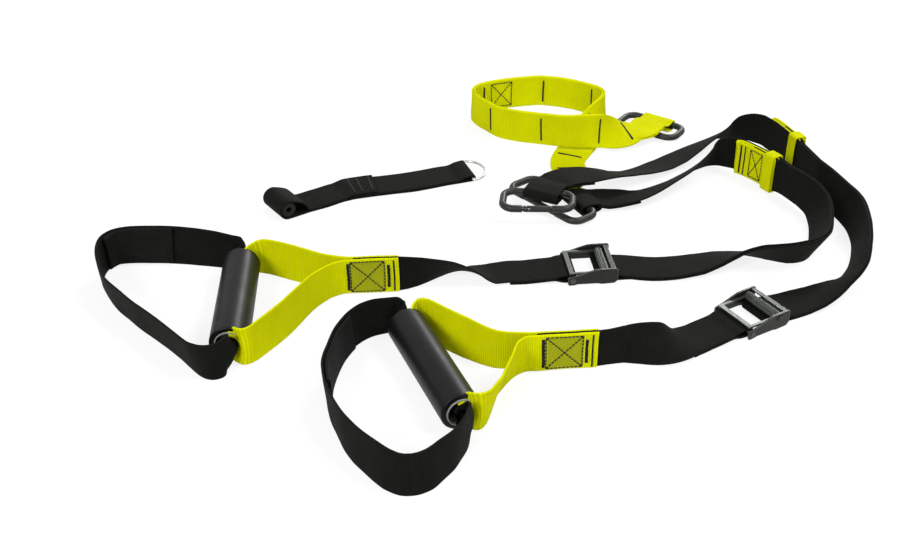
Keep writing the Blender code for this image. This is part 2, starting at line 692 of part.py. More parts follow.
def handle(side, axis, far_shares, near_shares, box_shares):
    """The yellow webbing that runs through a grip, both legs sewn over the black strap."""
    (x0, y0), (x1, y1) = box_shares
    start = [Station(s.point, s.across) for s in route(((x0, y0, 0, 0), (x1, y1, 0, 0)))]
    far_box = shifted(back(start), PLY_STEP)
    near_box = shifted(start, PLY_STEP)
    stations = far_box + route(far_shares) + through_tube(axis, STRAP_EXIT, STRAP_EXIT)
    stations += route(near_shares) + near_box
    ribbon("handle_strap_" + side, smooth_route(stations), YELLOW_WEBBING, parts=CURL_PARTS)
    return start


def cradle(side, axis, shares, pad_span_shares):
    """The closed foot loop through the same grip, and the lining sewn inside it."""
    stations = through_tube(axis, CRADLE_FAR_EXIT, CRADLE_NEAR_EXIT) + route(shares)
    rows = smooth_route(stations, closed=True)
    ribbon("foot_cradle_" + side, rows, BLACK_WEBBING, closed=True, parts=CURL_PARTS)
    walk = route(shares)
    first, last = (round(share * (len(walk) - 1)) for share in pad_span_shares)
    lining = shifted(walk, WEBBING_THICKNESS / 2 + PLY_GAP + PAD_THICKNESS / 2)[first:last + 1]
    ribbon("cradle_pad_" + side, smooth_route(lining), BLACK_WEBBING, width=PAD_WIDTH,
           thickness=PAD_THICKNESS)


# Cam buckles. Local X runs from the sewn loop towards the adjustable strap, local Y along the bars

BAR_X = BUCKLE_LENGTH * (BAR_PLACE_SHARE - 0.5)
PIN_X = BUCKLE_LENGTH * (PIN_PLACE_SHARE - 0.5)
LOWER_PLY_Z = FLOOR_GAP + WEBBING_THICKNESS / 2
ANVIL_BOTTOM = FLOOR_GAP + WEBBING_THICKNESS + PLY_GAP
ANVIL_TOP = ANVIL_BOTTOM + ANVIL_THICKNESS
UPPER_PLY_Z = ANVIL_TOP + PLY_GAP + WEBBING_THICKNESS / 2
PIN_Z = UPPER_PLY_Z + WEBBING_THICKNESS / 2 + CAM_GAP + CAM_RADIUS
BAR_LOOP_RADIUS = BAR_DIAMETER / 2 + LOOP_ROOM
BAR_Z = FLOOR_GAP + BAR_LOOP_RADIUS + WEBBING_THICKNESS / 2
PLATE_OUTSIDE = BUCKLE_INNER_WIDTH / 2 + PLATE_THICKNESS
CAM_HALF = BUCKLE_INNER_WIDTH / 2 - CAM_SIDE_GAP
OVERRUN = 0.001


def side_plate(name):
    """One side plate, standing at its place on the +Y side."""
    outline = [Vector((BUCKLE_LENGTH * (x_share - 0.5), 0, PLATE_LIFT + PLATE_HEIGHT * z_share))
               for x_share, z_share in PLATE_OUTLINE_SHARES]
    bm = bmesh.new()
    face = bm.faces.new([bm.verts.new(point) for point in outline])
    grown = bmesh.ops.extrude_face_region(bm, geom=[face])
    verts = [g for g in grown["geom"] if isinstance(g, bmesh.types.BMVert)]
    bmesh.ops.translate(bm, vec=(0, PLATE_THICKNESS, 0), verts=verts)
    bmesh.ops.translate(bm, vec=(0, BUCKLE_INNER_WIDTH / 2, 0), verts=bm.verts)
    return mesh_object(name, bm)


def ribbed_cam(name):
    """The toothed drum that grips the strap, along local Y and centred on its pin."""
    bm = bmesh.new()
    ring = []
    for i in range(CAM_TEETH * 2):
        turn = math.pi * i / CAM_TEETH
        radius = CAM_RADIUS - (CAM_TOOTH_DEPTH if i % 2 else 0)
        ring.append(bm.verts.new((radius * math.cos(turn), -CAM_HALF, radius * math.sin(turn))))
    grown = bmesh.ops.extrude_face_region(bm, geom=[bm.faces.new(ring)])
    verts = [g for g in grown["geom"] if isinstance(g, bmesh.types.BMVert)]
    bmesh.ops.translate(bm, vec=(0, CAM_HALF * 2, 0), verts=verts)
    return mesh_object(name, bm)


def buckle(side, place_share, yaw):
    """Frame, fixed bar, pin, cam lever and its spring; returns the buckle's frame."""
    seat = frame(place_share, yaw, 0)
    holder = empty_at("buckle_seat_" + side, seat)
    body = side_plate("buckle_frame_" + side)
    place(body, "buckle_frame_" + side, BLACK_COATED_STEEL, holder)
    reach = PLATE_OUTSIDE - PLATE_THICKNESS / 2
    anvil = box("anvil_" + side, (PIN_X - ANVIL_LENGTH / 2, -OVERRUN, ANVIL_BOTTOM),
                (PIN_X + ANVIL_LENGTH / 2, reach, ANVIL_TOP))
    bridge_x = BUCKLE_LENGTH / 2 - BRIDGE_LENGTH * BRIDGE_SETBACK_SHARE
    bridge_top = PLATE_LIFT + PLATE_HEIGHT - PLATE_THICKNESS / 2
    bridge = box("bridge_" + side, (bridge_x, -OVERRUN, bridge_top - PLATE_THICKNESS),
                 (bridge_x + BRIDGE_LENGTH, reach, bridge_top))
    for piece in (anvil, bridge):
        piece.parent = holder
        combine(body, cutter(piece), "UNION")
    deep = PLATE_OUTSIDE + OVERRUN
    for label, x, z, diameter in (("bar", BAR_X, BAR_Z, BAR_DIAMETER), ("pin", PIN_X, PIN_Z, PIN_DIAMETER)):
        hole = rod(label + "_hole_" + side, diameter + 2 * HOLE_FIT,
                   (x, BUCKLE_INNER_WIDTH / 2 - OVERRUN, z), (x, deep, z))
        hole.parent = holder
        combine(body, cutter(hole), "DIFFERENCE")
    mirror = body.modifiers.new("far side", "MIRROR")
    mirror.use_axis = (False, True, False)
    mirror.use_bisect_axis = (False, True, False)
    mirror.use_clip = True
    mirror.merge_threshold = WELD * 5

    bar_reach = PLATE_OUTSIDE + BAR_HEAD
    bar = rod("buckle_bar_" + side, BAR_DIAMETER, (BAR_X, -bar_reach, BAR_Z), (BAR_X, bar_reach, BAR_Z))
    place(bar, "buckle_bar_" + side, ZINC_STEEL, holder)

    pin_reach = PLATE_OUTSIDE + HOLE_FIT
    pin = turned("cam_pin_" + side, (
        (-pin_reach - PIN_HEAD_HEIGHT, 0), (-pin_reach - PIN_HEAD_HEIGHT, PIN_HEAD_DIAMETER / 2),
        (-pin_reach, PIN_HEAD_DIAMETER / 2), (-pin_reach, PIN_DIAMETER / 2), (pin_reach, PIN_DIAMETER / 2),
        (pin_reach, PIN_HEAD_DIAMETER / 2), (pin_reach + PIN_HEAD_HEIGHT, PIN_HEAD_DIAMETER / 2),
        (pin_reach + PIN_HEAD_HEIGHT, 0)), PIN_SIDES)
    place(pin, "cam_pin_" + side, BLACK_COATED_STEEL, holder)
    pin.location = (PIN_X, 0, PIN_Z)
    pin.rotation_euler = (0, 0, math.radians(90))

    lever = ribbed_cam("cam_lever_" + side)
    place(lever, "cam_lever_" + side, ZINC_STEEL, holder)
    lever.location = (PIN_X, 0, PIN_Z)
    thumb_end = -BUCKLE_LENGTH / 2 - PIN_X + THUMB_BAR_LENGTH * THUMB_INSET_SHARE
    thumb_top = BAR_Z + BAR_LOOP_RADIUS + WEBBING_THICKNESS / 2 + CAM_GAP + LEVER_THICKNESS - PIN_Z
    for index, sign in enumerate((-1, 1)):
        arm = box("lever_arm_%d_%s" % (index, side),
                  (thumb_end, sign * CAM_HALF, thumb_top - LEVER_THICKNESS),
                  (-CAM_RADIUS * ARM_START_SHARE, sign * (CAM_HALF - LEVER_ARM_WIDTH), thumb_top))
        arm.parent = lever
        combine(lever, cutter(arm), "UNION")
    thumb = box("thumb_bar_" + side, (thumb_end, -CAM_HALF, thumb_top - LEVER_THICKNESS),
                (thumb_end + THUMB_BAR_LENGTH, CAM_HALF, thumb_top))
    bore = rod("lever_bore_" + side, PIN_DIAMETER + 2 * HOLE_FIT,
               (0, -CAM_HALF - OVERRUN, 0), (0, CAM_HALF + OVERRUN, 0))
    pocket_depth = SPRING_PITCH * SPRING_CURLS + SPRING_WIRE + 2 * SPRING_POCKET_FIT
    pocket = rod("spring_pocket_" + side, 2 * (SPRING_RADIUS + SPRING_WIRE / 2 + SPRING_POCKET_FIT),
                 (0, -CAM_HALF - OVERRUN, 0), (0, pocket_depth - CAM_HALF, 0))
    for piece, operation in ((thumb, "UNION"), (bore, "DIFFERENCE"), (pocket, "DIFFERENCE")):
        piece.parent = lever
        combine(lever, cutter(piece), operation)

    coil = helix(SPRING_RADIUS, SPRING_PITCH, SPRING_CURLS, SPRING_POINTS)
    print("least gap in cam_spring_%s: %.2f mm" % (side, coil_gap(coil, SPRING_POINTS, SPRING_WIRE) * 1000))
    spring = swept_rod("cam_spring_" + side, coil, SPRING_WIRE / 2, resolution=1)
    place(spring, "cam_spring_" + side, SPRING_STEEL, holder)
    spring.location = (PIN_X, pocket_depth / 2 - CAM_HALF, PIN_Z)
    spring.rotation_euler = (0, 0, math.radians(90))
    return seat


def bar_loop(seat, neck=LOOP_NECK):
    """Upper ply in, round the fixed bar of a buckle and out along the lower ply."""
    centre = seat @ Vector((BAR_X, 0, BAR_Z))
    heading = seat.to_3x3() @ Vector((1, 0, 0))
    return loop_round(centre, heading, BAR_LOOP_RADIUS, PLY_STEP, neck)


def anvil_turn(seat):
    """Lower ply in from the adjustable side, round the anvil and out under the cam."""
    across = seat.to_3x3() @ Vector((0, 1, 0))
    middle = (UPPER_PLY_Z + LOWER_PLY_Z) / 2
    radius = (UPPER_PLY_Z - LOWER_PLY_Z) / 2
    nose = PIN_X - ANVIL_LENGTH / 2
    tail = BUCKLE_LENGTH / 2
    points = [(tail, LOWER_PLY_Z), (PIN_X, LOWER_PLY_Z)]
    for degrees in (-90, -130, -180, -230, -270):
        turn = math.radians(degrees)
        points.append((nose + radius * math.cos(turn), middle + radius * math.sin(turn)))
    points += [(PIN_X, UPPER_PLY_Z), (tail - ANVIL_LENGTH / 2, UPPER_PLY_Z)]
    return [Station(seat @ Vector((x, 0, z)), across) for x, z in points]


# Carabiners. Local X runs along the ring, the spine is on +Y and the gate on -Y

def ring_outline(length):
    """Corners of the ring: left end full width, right end narrower on the gate side."""
    half, side = length / 2, CARABINER_WIDTH / 2
    corners = [Vector((-half, -side, 0)), Vector((-half, side, 0)), Vector((half, side, 0)),
               Vector((half, CARABINER_NARROWING - side, 0))]
    points = []
    for i, corner in enumerate(corners):
        before, after = corners[i - 1], corners[(i + 1) % len(corners)]
        into, out = (corner - before).normalized(), (after - corner).normalized()
        opening = math.pi - into.angle(out)
        reach = CARABINER_CORNER / math.tan(opening / 2)
        start, end = corner - into * reach, corner + out * reach
        centre = corner + (out - into).normalized() * CARABINER_CORNER / math.sin(opening / 2)
        for k in range(CORNER_POINTS):
            point = start.lerp(end, k / (CORNER_POINTS - 1))
            points.append(centre + (point - centre).normalized() * CARABINER_CORNER)
    return points


def carabiner(label, length, place_share, yaw, height):
    """Open ring, gate, hinge pin and gate spring; returns the ring's frame."""
    seat = frame(place_share, yaw, height)
    holder = empty_at("carabiner_seat_" + label, seat)
    outline = ring_outline(length)
    gate_from = outline[-1]
    gate_to = outline[0]
    side = (gate_to - gate_from).normalized()
    run = (gate_to - gate_from).length
    nose = gate_from + side * run * (1 - GATE_STOP_SHARE)
    hinge = gate_from + side * run * (1 - GATE_START_SHARE)
    points = [hinge] + outline + [nose]
    ring = swept_rod("carabiner_" + label, points, ROD_DIAMETER / 2)
    place(ring, "carabiner_" + label, BLACK_COATED_STEEL, holder, smooth=True)

    turn = math.atan2(side.y, side.x)
    pivot = hinge - side * TANG_REACH
    tang = box("tang_" + label, (-TANG_END, -TANG_HALF_WIDTH, -TANG_THICKNESS / 2),
               (TANG_REACH + ROD_DIAMETER / 4, TANG_HALF_WIDTH, TANG_THICKNESS / 2))
    pin_hole = rod("gate_pin_hole_" + label, GATE_PIN_DIAMETER + 2 * HOLE_FIT,
                   (0, 0, -ROD_DIAMETER), (0, 0, ROD_DIAMETER))
    for piece in (tang, pin_hole):
        piece.parent = holder
        piece.location = pivot
        piece.rotation_euler = (0, 0, turn)
    combine(ring, cutter(tang), "UNION")
    combine(ring, cutter(pin_hole), "DIFFERENCE")

    gate_length = (pivot - nose).length
    gate = rod("gate_" + label, GATE_DIAMETER, (GATE_CHEEK, 0, 0), (GATE_END_GAP - gate_length, 0, 0),
               sides=PIN_SIDES)
    place(gate, "gate_" + label, BLACK_COATED_STEEL, holder)
    gate.location = pivot
    gate.rotation_euler = (0, 0, turn)
    slot_depth = math.hypot(TANG_END, TANG_HALF_WIDTH) + GATE_SIDE_GAP
    slot = box("gate_slot_" + label, (-slot_depth, -GATE_DIAMETER, -TANG_THICKNESS / 2 - GATE_SIDE_GAP),
               (TANG_REACH + GATE_CHEEK, GATE_DIAMETER, TANG_THICKNESS / 2 + GATE_SIDE_GAP))
    hole = rod("gate_hole_" + label, GATE_PIN_DIAMETER + 2 * HOLE_FIT,
               (0, 0, -ROD_DIAMETER), (0, 0, ROD_DIAMETER))
    spring_length = GATE_SPRING_PITCH * GATE_SPRING_CURLS + GATE_SPRING_WIRE
    bore_end = -slot_depth - spring_length - GATE_BORE_FIT
    bore = rod("gate_bore_" + label, 2 * GATE_SPRING_RADIUS + GATE_SPRING_WIRE + 2 * GATE_BORE_FIT,
               (bore_end, 0, 0), (OVERRUN - slot_depth, 0, 0))
    for piece in (slot, hole, bore):
        piece.parent = gate
        combine(gate, cutter(piece), "DIFFERENCE")

    pin = rod("gate_pin_" + label, GATE_PIN_DIAMETER, (0, 0, -GATE_DIAMETER / 2), (0, 0, GATE_DIAMETER / 2),
              sides=PIN_SIDES)
    place(pin, "gate_pin_" + label, ZINC_STEEL, holder)
    pin.location = pivot

    coil = helix(GATE_SPRING_RADIUS, GATE_SPRING_PITCH, GATE_SPRING_CURLS, GATE_SPRING_POINTS)
    gap = coil_gap(coil, GATE_SPRING_POINTS, GATE_SPRING_WIRE)
    print("least gap in gate_spring_%s: %.2f mm" % (label, gap * 1000))
    spring = swept_rod("gate_spring_" + label, coil, GATE_SPRING_WIRE / 2, resolution=1)
    place(spring, "gate_spring_" + label, SPRING_STEEL, gate)
    spring.location = (-slot_depth - spring_length / 2, 0, 0)
    return seat


def rod_loop(seat, along, skew):
    """Upper ply in, round the spine of a carabiner and out along the lower ply, skewed across the rod."""
    centre = seat @ Vector((along, CARABINER_WIDTH / 2, 0))
    skew = math.radians(skew)
    heading = seat.to_3x3() @ Vector((math.sin(skew), -math.cos(skew), 0))
    slack = WEBBING_WIDTH * math.tan(abs(skew))
    return loop_round(centre, heading, ROD_DIAMETER / 2 + LOOP_ROOM, PLY_STEP, LOOP_NECK, slack=slack)


def over_gate_loop(seat, along):
    """Lower ply in over the gate, round the spine from below and out along the upper ply."""
    centre = seat @ Vector((along, CARABINER_WIDTH / 2, 0))
    heading = seat.to_3x3() @ Vector((0, 1, 0))
    radius = ROD_DIAMETER / 2 + LOOP_ROOM
    loop = loop_round(centre, heading, radius, PLY_STEP, LOOP_NECK)[1:-1]
    up = Vector((0, 0, 1))
    lower, upper = [], []
    for away in (CARABINER_WIDTH + ROD_DIAMETER, CARABINER_WIDTH - ROD_DIAMETER / 2,
                 CARABINER_WIDTH * PLUNGE_SHARE):
        spot = centre - heading * away + up * radius
        lower.append(Station(spot, loop[0].across))
        upper.append(Station(spot + up * PLY_STEP, loop[0].across))
    return lower + back(loop) + back(upper)


# Build

RING_SEAT = FLOOR_GAP + WEBBING_THICKNESS + LOOP_CLEARANCE + ROD_DIAMETER / 2
UPPER_SEAT = RING_SEAT + ROD_DIAMETER + WEBBING_THICKNESS + 4 * LOOP_CLEARANCE

grip_l = grip("l", GRIP_L_PLACE_SHARE, GRIP_L_YAW)
grip_r = grip("r", GRIP_R_PLACE_SHARE, GRIP_R_YAW)
buckle_l = buckle("l", BUCKLE_L_PLACE_SHARE, BUCKLE_L_YAW)
buckle_r = buckle("r", BUCKLE_R_PLACE_SHARE, BUCKLE_R_YAW)
carabiner_1 = carabiner("1", CARABINER_LENGTH, CARABINER_1_PLACE_SHARE, CARABINER_1_YAW, UPPER_SEAT)
carabiner_2 = carabiner("2", LONG_CARABINER_LENGTH, CARABINER_2_PLACE_SHARE, CARABINER_2_YAW, RING_SEAT)
carabiner_3 = carabiner("3", CARABINER_LENGTH, CARABINER_3_PLACE_SHARE, CARABINER_3_YAW, RING_SEAT)

box_l = handle("l", grip_l, HANDLE_L_FAR_SHARES, HANDLE_L_NEAR_SHARES, BOX_L_SHARES)
box_r = handle("r", grip_r, HANDLE_R_FAR_SHARES, HANDLE_R_NEAR_SHARES, BOX_R_SHARES)
cradle("l", grip_l, CRADLE_L_ROUTE_SHARES, PAD_L_SPAN_SHARES)
cradle("r", grip_r, CRADLE_R_ROUTE_SHARES, PAD_R_SPAN_SHARES)


def looped_end(rows, loop):
    """A strap's last stretch, its loop round a bar and the short end sewn back under it."""
    amount = -PLY_STEP if facing(rows, len(rows) - 1).z > 0 else PLY_STEP
    total = length_of(rows)
    under = shifted(cut(rows, total - SEAM_LENGTH, total), amount)
    return joined(onward(rows, loop), back(under))


def lower_strap(side, box_stations, shares, seat):
    """From between the yellow plies to the buckle's fixed bar, turned back and sewn."""
    rows = looped_end(smooth_route(box_stations + route(shares)), bar_loop(seat))
    ribbon("lower_strap_" + side, rows, BLACK_WEBBING)


lower_strap("l", box_l, LOWER_L_ROUTE_SHARES, buckle_l)
lower_strap("r", box_r, LOWER_R_ROUTE_SHARES, buckle_r)


def upper_strap(side, seat, shared_table, free_table, loop, tail_side):
    """From the tab down to the buckle, round its anvil, back up past the tab to the carabiner's loop."""
    shared = smooth_route(route(shared_table, plies=2))
    total = length_of(shared)
    step = PLY_STEP * tail_side
    main = shifted(shared, -step / 2)
    tab_start = total - TAB_LENGTH
    tail = shifted(cut(shared, 0, tab_start - TAB_STEP_LENGTH), step / 2)
    tail += shifted(cut(shared, tab_start, tab_start + TAIL_IN_TAB), step * 1.5)
    turn = anvil_turn(seat) if tail_side < 0 else back(anvil_turn(seat))
    free = route(free_table)
    for i, share in enumerate(LEAVING_SHARES):
        free[i].point += facing(free, i) * -step / 2 * share
    rows = onward(joined(onward(back(tail), turn), main), free)
    ribbon("upper_strap_" + side, looped_end(rows, loop), BLACK_WEBBING)
    return shared


def tab(side, shared, tail_side):
    """Yellow webbing folded at its far end, with the tail sewn between its plies, and its keeper."""
    step = PLY_STEP * tail_side
    total = length_of(shared)
    held = cut(shared, total - TAB_LENGTH, total - TAB_STEP_LENGTH)
    inner, outer = (shifted(held, offset) for offset in (step / 2, step * 2.5))
    travel = (inner[-1].point - inner[-2].point).normalized()
    middle = (inner[-1].point + outer[-1].point) / 2
    spread = (inner[-1].point - outer[-1].point) / 2
    fold = []
    for degrees in (60, 0, -60):
        turn = math.radians(degrees)
        spot = middle + travel * spread.length * math.cos(turn) + spread * math.sin(turn)
        fold.append(Station(spot, inner[-1].across))
    ribbon("adjuster_tab_" + side, onward(inner, fold) + back(outer), YELLOW_WEBBING)

    near = cut(shared, total - TAB_LENGTH, total - TAB_LENGTH + KEEPER_WIDTH)
    first, last = near[0], near[-1]
    spot = between(first, last, 0.5)
    travel = (last.point - first.point).normalized()
    across = spot.across
    face = travel.cross(across).normalized() * tail_side
    clear = WEBBING_THICKNESS + KEEPER_GAP
    high = PLY_STEP * 2.5 + clear
    low = -PLY_STEP / 2 - clear
    wide = WEBBING_WIDTH / 2 + KEEPER_GAP + WEBBING_THICKNESS / 2
    band = []
    for sign_across, sign_face, start in ((1, 1, 0), (-1, 1, 90), (-1, -1, 180), (1, -1, 270)):
        corner_across = sign_across * (wide - KEEPER_CORNER)
        corner_face = (high - KEEPER_CORNER) if sign_face > 0 else (low + KEEPER_CORNER)
        for k in range(KEEPER_PARTS + 1):
            turn = math.radians(start + 90 * k / KEEPER_PARTS)
            offset = across * (corner_across + KEEPER_CORNER * math.cos(turn))
            offset += face * (corner_face + KEEPER_CORNER * math.sin(turn))
            band.append(Station(spot.point + offset, travel))
    ribbon("tab_keeper_" + side, band, YELLOW_WEBBING, closed=True, width=KEEPER_WIDTH)


upper_l = upper_strap("l", buckle_l, UPPER_L_ROUTE_SHARES, FREE_L_ROUTE_SHARES,
                      rod_loop(carabiner_2, LONG_CARABINER_LENGTH * STRAP_2_LOOP_SHARE, STRAP_2_SKEW), 1)
upper_r = upper_strap("r", buckle_r, UPPER_R_ROUTE_SHARES, FREE_R_ROUTE_SHARES,
                      rod_loop(carabiner_1, CARABINER_LENGTH * STRAP_1_LOOP_SHARE, STRAP_1_SKEW), -1)
tab("l", upper_l, 1)
tab("r", upper_r, -1)


# Anchor strap: one endless loop of webbing, flattened to two plies

def anchor():
    line = smooth_route(route(ANCHOR_ROUTE_SHARES, plies=2))
    apart = PLY_STEP / 2
    start = rod_loop(carabiner_2, LONG_CARABINER_LENGTH * ANCHOR_LOOP_SHARE, ANCHOR_SKEW)
    finish = over_gate_loop(carabiner_3, CARABINER_LENGTH * ANCHOR_FINISH_SHARE)
    rows = joined(onward(shifted(line, -apart), finish), back(shifted(line, apart)))
    ribbon("anchor_strap", onward(rows, start), YELLOW_WEBBING, closed=True)


anchor()


# Door anchor: webbing doubled round a foam roller at one end and a ring at the other

def door_anchor():
    roller_seat = FLOOR_GAP + WEBBING_THICKNESS + LOOP_CLEARANCE + ROLLER_DIAMETER / 2
    seat = frame(ROLLER_PLACE_SHARE, ROLLER_YAW, roller_seat)
    holder = empty_at("roller_seat", seat)
    half = ROLLER_LENGTH / 2
    roller = turned("door_roller", (
        (-half, ROLLER_BORE / 2), (-half, ROLLER_DIAMETER / 2 - FOAM_CORNER),
        (FOAM_CORNER - half, ROLLER_DIAMETER / 2), (half - FOAM_CORNER, ROLLER_DIAMETER / 2),
        (half, ROLLER_DIAMETER / 2 - FOAM_CORNER), (half, ROLLER_BORE / 2)))
    place(roller, "door_roller", BLACK_FOAM, holder)
    roller.rotation_euler = (0, 0, math.radians(90))

    ring_height = FLOOR_GAP + WEBBING_THICKNESS + LOOP_CLEARANCE + RING_WIRE / 2
    ring_seat = frame(RING_PLACE_SHARE, RING_YAW, ring_height)
    ring_holder = empty_at("door_ring_seat", ring_seat)
    span = RING_INNER_WIDTH / 2 + RING_WIRE / 2
    corner = RING_CORNER
    points = [Vector((0, corner - span, 0)), Vector((0, span - corner, 0))]
    for k in range(RING_PARTS + 1):
        turn = math.radians(90 - 180 * k / RING_PARTS)
        points.append(Vector((corner + (RING_DEPTH - corner) * math.cos(turn), span * math.sin(turn), 0)))
    ring = swept_rod("door_ring", points, RING_WIRE / 2, closed=True)
    place(ring, "door_ring", ZINC_STEEL, ring_holder, smooth=True)

    lower = smooth_route(route(DOOR_ROUTE_SHARES))
    total = length_of(lower)
    roller_radius = ROLLER_DIAMETER / 2 + LOOP_ROOM
    roller_drop = roller_seat - LOWER_PLY_Z - PLY_STEP / 2
    wrap = loop_round(seat.translation, seat.to_3x3() @ Vector((-1, 0, 0)), roller_radius, PLY_STEP,
                      ROLLER_DIAMETER * 1.5, roller_drop)
    ring_radius = RING_WIRE / 2 + LOOP_ROOM
    ring_drop = ring_height - LOWER_PLY_Z - PLY_STEP / 2
    turn = loop_round(ring_seat.translation, ring_seat.to_3x3() @ Vector((1, 0, 0)), ring_radius, PLY_STEP,
                      LOOP_NECK, ring_drop)
    seam = total * DOOR_SEAM_SHARE
    overlap = shifted(cut(lower, seam, seam + SEAM_LENGTH), 2 * PLY_STEP)
    first = shifted(cut(lower, seam, total), PLY_STEP)
    last = shifted(cut(lower, 0, seam - TAB_STEP_LENGTH), PLY_STEP)
    rows = joined(onward(first, turn), back(lower))
    ribbon("door_strap", joined(onward(rows, back(wrap)), last, overlap), BLACK_WEBBING)


door_anchor()


def centre_on_floor():
    """Move the layout so that its box is centred on the origin, with its lowest point on the floor."""
    bpy.context.view_layer.update()
    graph = bpy.context.evaluated_depsgraph_get()
    corners = []
    for obj in TRAINER.objects:
        if obj.type == "EMPTY":
            continue
        shape = obj.evaluated_get(graph)
        mesh = shape.to_mesh()
        points = np.empty(len(mesh.vertices) * 3)
        mesh.vertices.foreach_get("co", points)
        matrix = np.array(obj.matrix_world)
        points = points.reshape(-1, 3) @ matrix[:3, :3].T + matrix[:3, 3]
        corners += [points.min(axis=0), points.max(axis=0)]
        shape.to_mesh_clear()
    low, high = np.min(corners, axis=0), np.max(corners, axis=0)
    LAYOUT.location = (-(low[0] + high[0]) / 2, -(low[1] + high[1]) / 2, -low[2])
    bpy.context.view_layer.update()


centre_on_floor()
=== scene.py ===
"""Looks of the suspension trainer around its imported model: webbing, stitching, foam and steel."""

import json
import math
import random

import bmesh
import bpy
import numpy as np
from mathutils import Matrix, Vector, noise

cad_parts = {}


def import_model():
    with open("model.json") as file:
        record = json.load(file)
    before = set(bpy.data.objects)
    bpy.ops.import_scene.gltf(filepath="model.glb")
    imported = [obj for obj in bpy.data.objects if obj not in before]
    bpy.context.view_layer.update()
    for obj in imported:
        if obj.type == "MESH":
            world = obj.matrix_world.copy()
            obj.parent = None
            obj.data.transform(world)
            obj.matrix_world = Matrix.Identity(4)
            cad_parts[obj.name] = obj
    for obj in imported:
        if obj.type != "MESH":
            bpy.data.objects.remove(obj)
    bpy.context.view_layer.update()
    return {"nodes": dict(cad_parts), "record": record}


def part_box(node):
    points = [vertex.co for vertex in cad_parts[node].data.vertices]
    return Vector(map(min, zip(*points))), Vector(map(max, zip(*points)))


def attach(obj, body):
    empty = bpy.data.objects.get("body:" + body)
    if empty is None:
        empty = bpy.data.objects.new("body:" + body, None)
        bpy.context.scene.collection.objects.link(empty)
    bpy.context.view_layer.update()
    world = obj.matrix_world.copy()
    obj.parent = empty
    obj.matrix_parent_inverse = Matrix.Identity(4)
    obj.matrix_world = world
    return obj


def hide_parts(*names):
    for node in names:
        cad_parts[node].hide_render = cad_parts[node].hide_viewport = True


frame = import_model()

# Layout and webbing
LAYOUT_CELL = 0.100
FLOOR_GAP = 0.0003
WELD = 0.000002
TURN_WELD = 0.00001
WEBBING_WIDTH = 0.038
WEBBING_THICKNESS = 0.0020
PLY_GAP = 0.0004
LOOP_CLEARANCE = 0.0004
LOOP_NECK = 0.016
LOOP_TURNS = (100, 65, 33, 0, -33, -65, -100)
NECK_SHARE = 0.58
NECK_DROP_SHARE = 0.45
PLY_STEP = WEBBING_THICKNESS + PLY_GAP
LOOP_ROOM = WEBBING_THICKNESS / 2 + LOOP_CLEARANCE
SEAM_LENGTH = 0.030
ROW_MAX = 0.020
ROW_MIN = 0.0025
ROW_TURN_DEG = 13
CURL_PARTS = 6

# Hand grips
GRIP_LENGTH = 0.132
FOAM_DIAMETER = 0.035
FOAM_CORNER = 0.0012
TUBE_DIAMETER = 0.026
TUBE_BORE = 0.0234
TUBE_PROUD = 0.0012
TUBE_FIT = 0.00015
STRAP_IN_TUBE_RADIUS = 0.0099
CRADLE_IN_TUBE_RADIUS = 0.0067

# How webbing leaves a grip: distance out, distance off the axis, share of full curl
STRAP_EXIT = (
    (0.0, STRAP_IN_TUBE_RADIUS, 1.0), (0.0016, 0.0099, 0.75), (0.0036, 0.0100, 0.40), (0.0055, 0.0103, 0.12),
)
CRADLE_FAR_EXIT = (
    (0.0, CRADLE_IN_TUBE_RADIUS, 1.0), (0.0040, 0.0067, 0.80), (0.0085, 0.0054, 0.40), (0.0120, 0.0024, 0.15),
    (0.0150, -0.0025, 0.04),
)
CRADLE_NEAR_EXIT = (
    (0.0, CRADLE_IN_TUBE_RADIUS, 1.0), (0.0030, 0.0068, 0.95), (0.0080, 0.0062, 0.60), (0.0130, 0.0040, 0.25),
    (0.0180, 0.0, 0.05),
)

# Lining of the foot loops
PAD_THICKNESS = 0.0034
PAD_INSET = 0.0015
PAD_WIDTH = WEBBING_WIDTH - 2 * PAD_INSET

# Cam buckles
BUCKLE_LENGTH = 0.048
BUCKLE_SIDE_GAP = 0.0030
BUCKLE_INNER_WIDTH = WEBBING_WIDTH + 2 * BUCKLE_SIDE_GAP
PLATE_THICKNESS = 0.0016
BAR_DIAMETER = 0.0050
BAR_HEAD = 0.0008
HOLE_FIT = 0.00015
PIN_DIAMETER = 0.0040
PIN_HEAD_DIAMETER = 0.0066
PIN_HEAD_HEIGHT = 0.0009
ANVIL_LENGTH = 0.0080
ANVIL_THICKNESS = 0.0020
CAM_RADIUS = 0.0042
CAM_GAP = 0.0004
CAM_SIDE_GAP = 0.0010
SPRING_WIRE = 0.0005
SPRING_RADIUS = 0.0029
SPRING_PITCH = 0.0012
SPRING_CURLS = 4
SPRING_POCKET_FIT = 0.0003

# Carabiners
ROD_DIAMETER = 0.0076
CARABINER_LENGTH = 0.072
LONG_CARABINER_LENGTH = 0.100
CARABINER_WIDTH = 0.038
CARABINER_CORNER = 0.0115
CARABINER_NARROWING = 0.006
GATE_DIAMETER = 0.0068
GATE_END_GAP = 0.0004
GATE_SIDE_GAP = 0.0004
TANG_THICKNESS = 0.0030
TANG_REACH = 0.0040
TANG_END = 0.0024
TANG_HALF_WIDTH = 0.0027
GATE_CHEEK = 0.0024
GATE_PIN_DIAMETER = 0.0022
CORNER_POINTS = 15
GATE_SPRING_WIRE = 0.0005
GATE_SPRING_RADIUS = 0.0013
GATE_SPRING_PITCH = 0.0011
GATE_SPRING_CURLS = 5

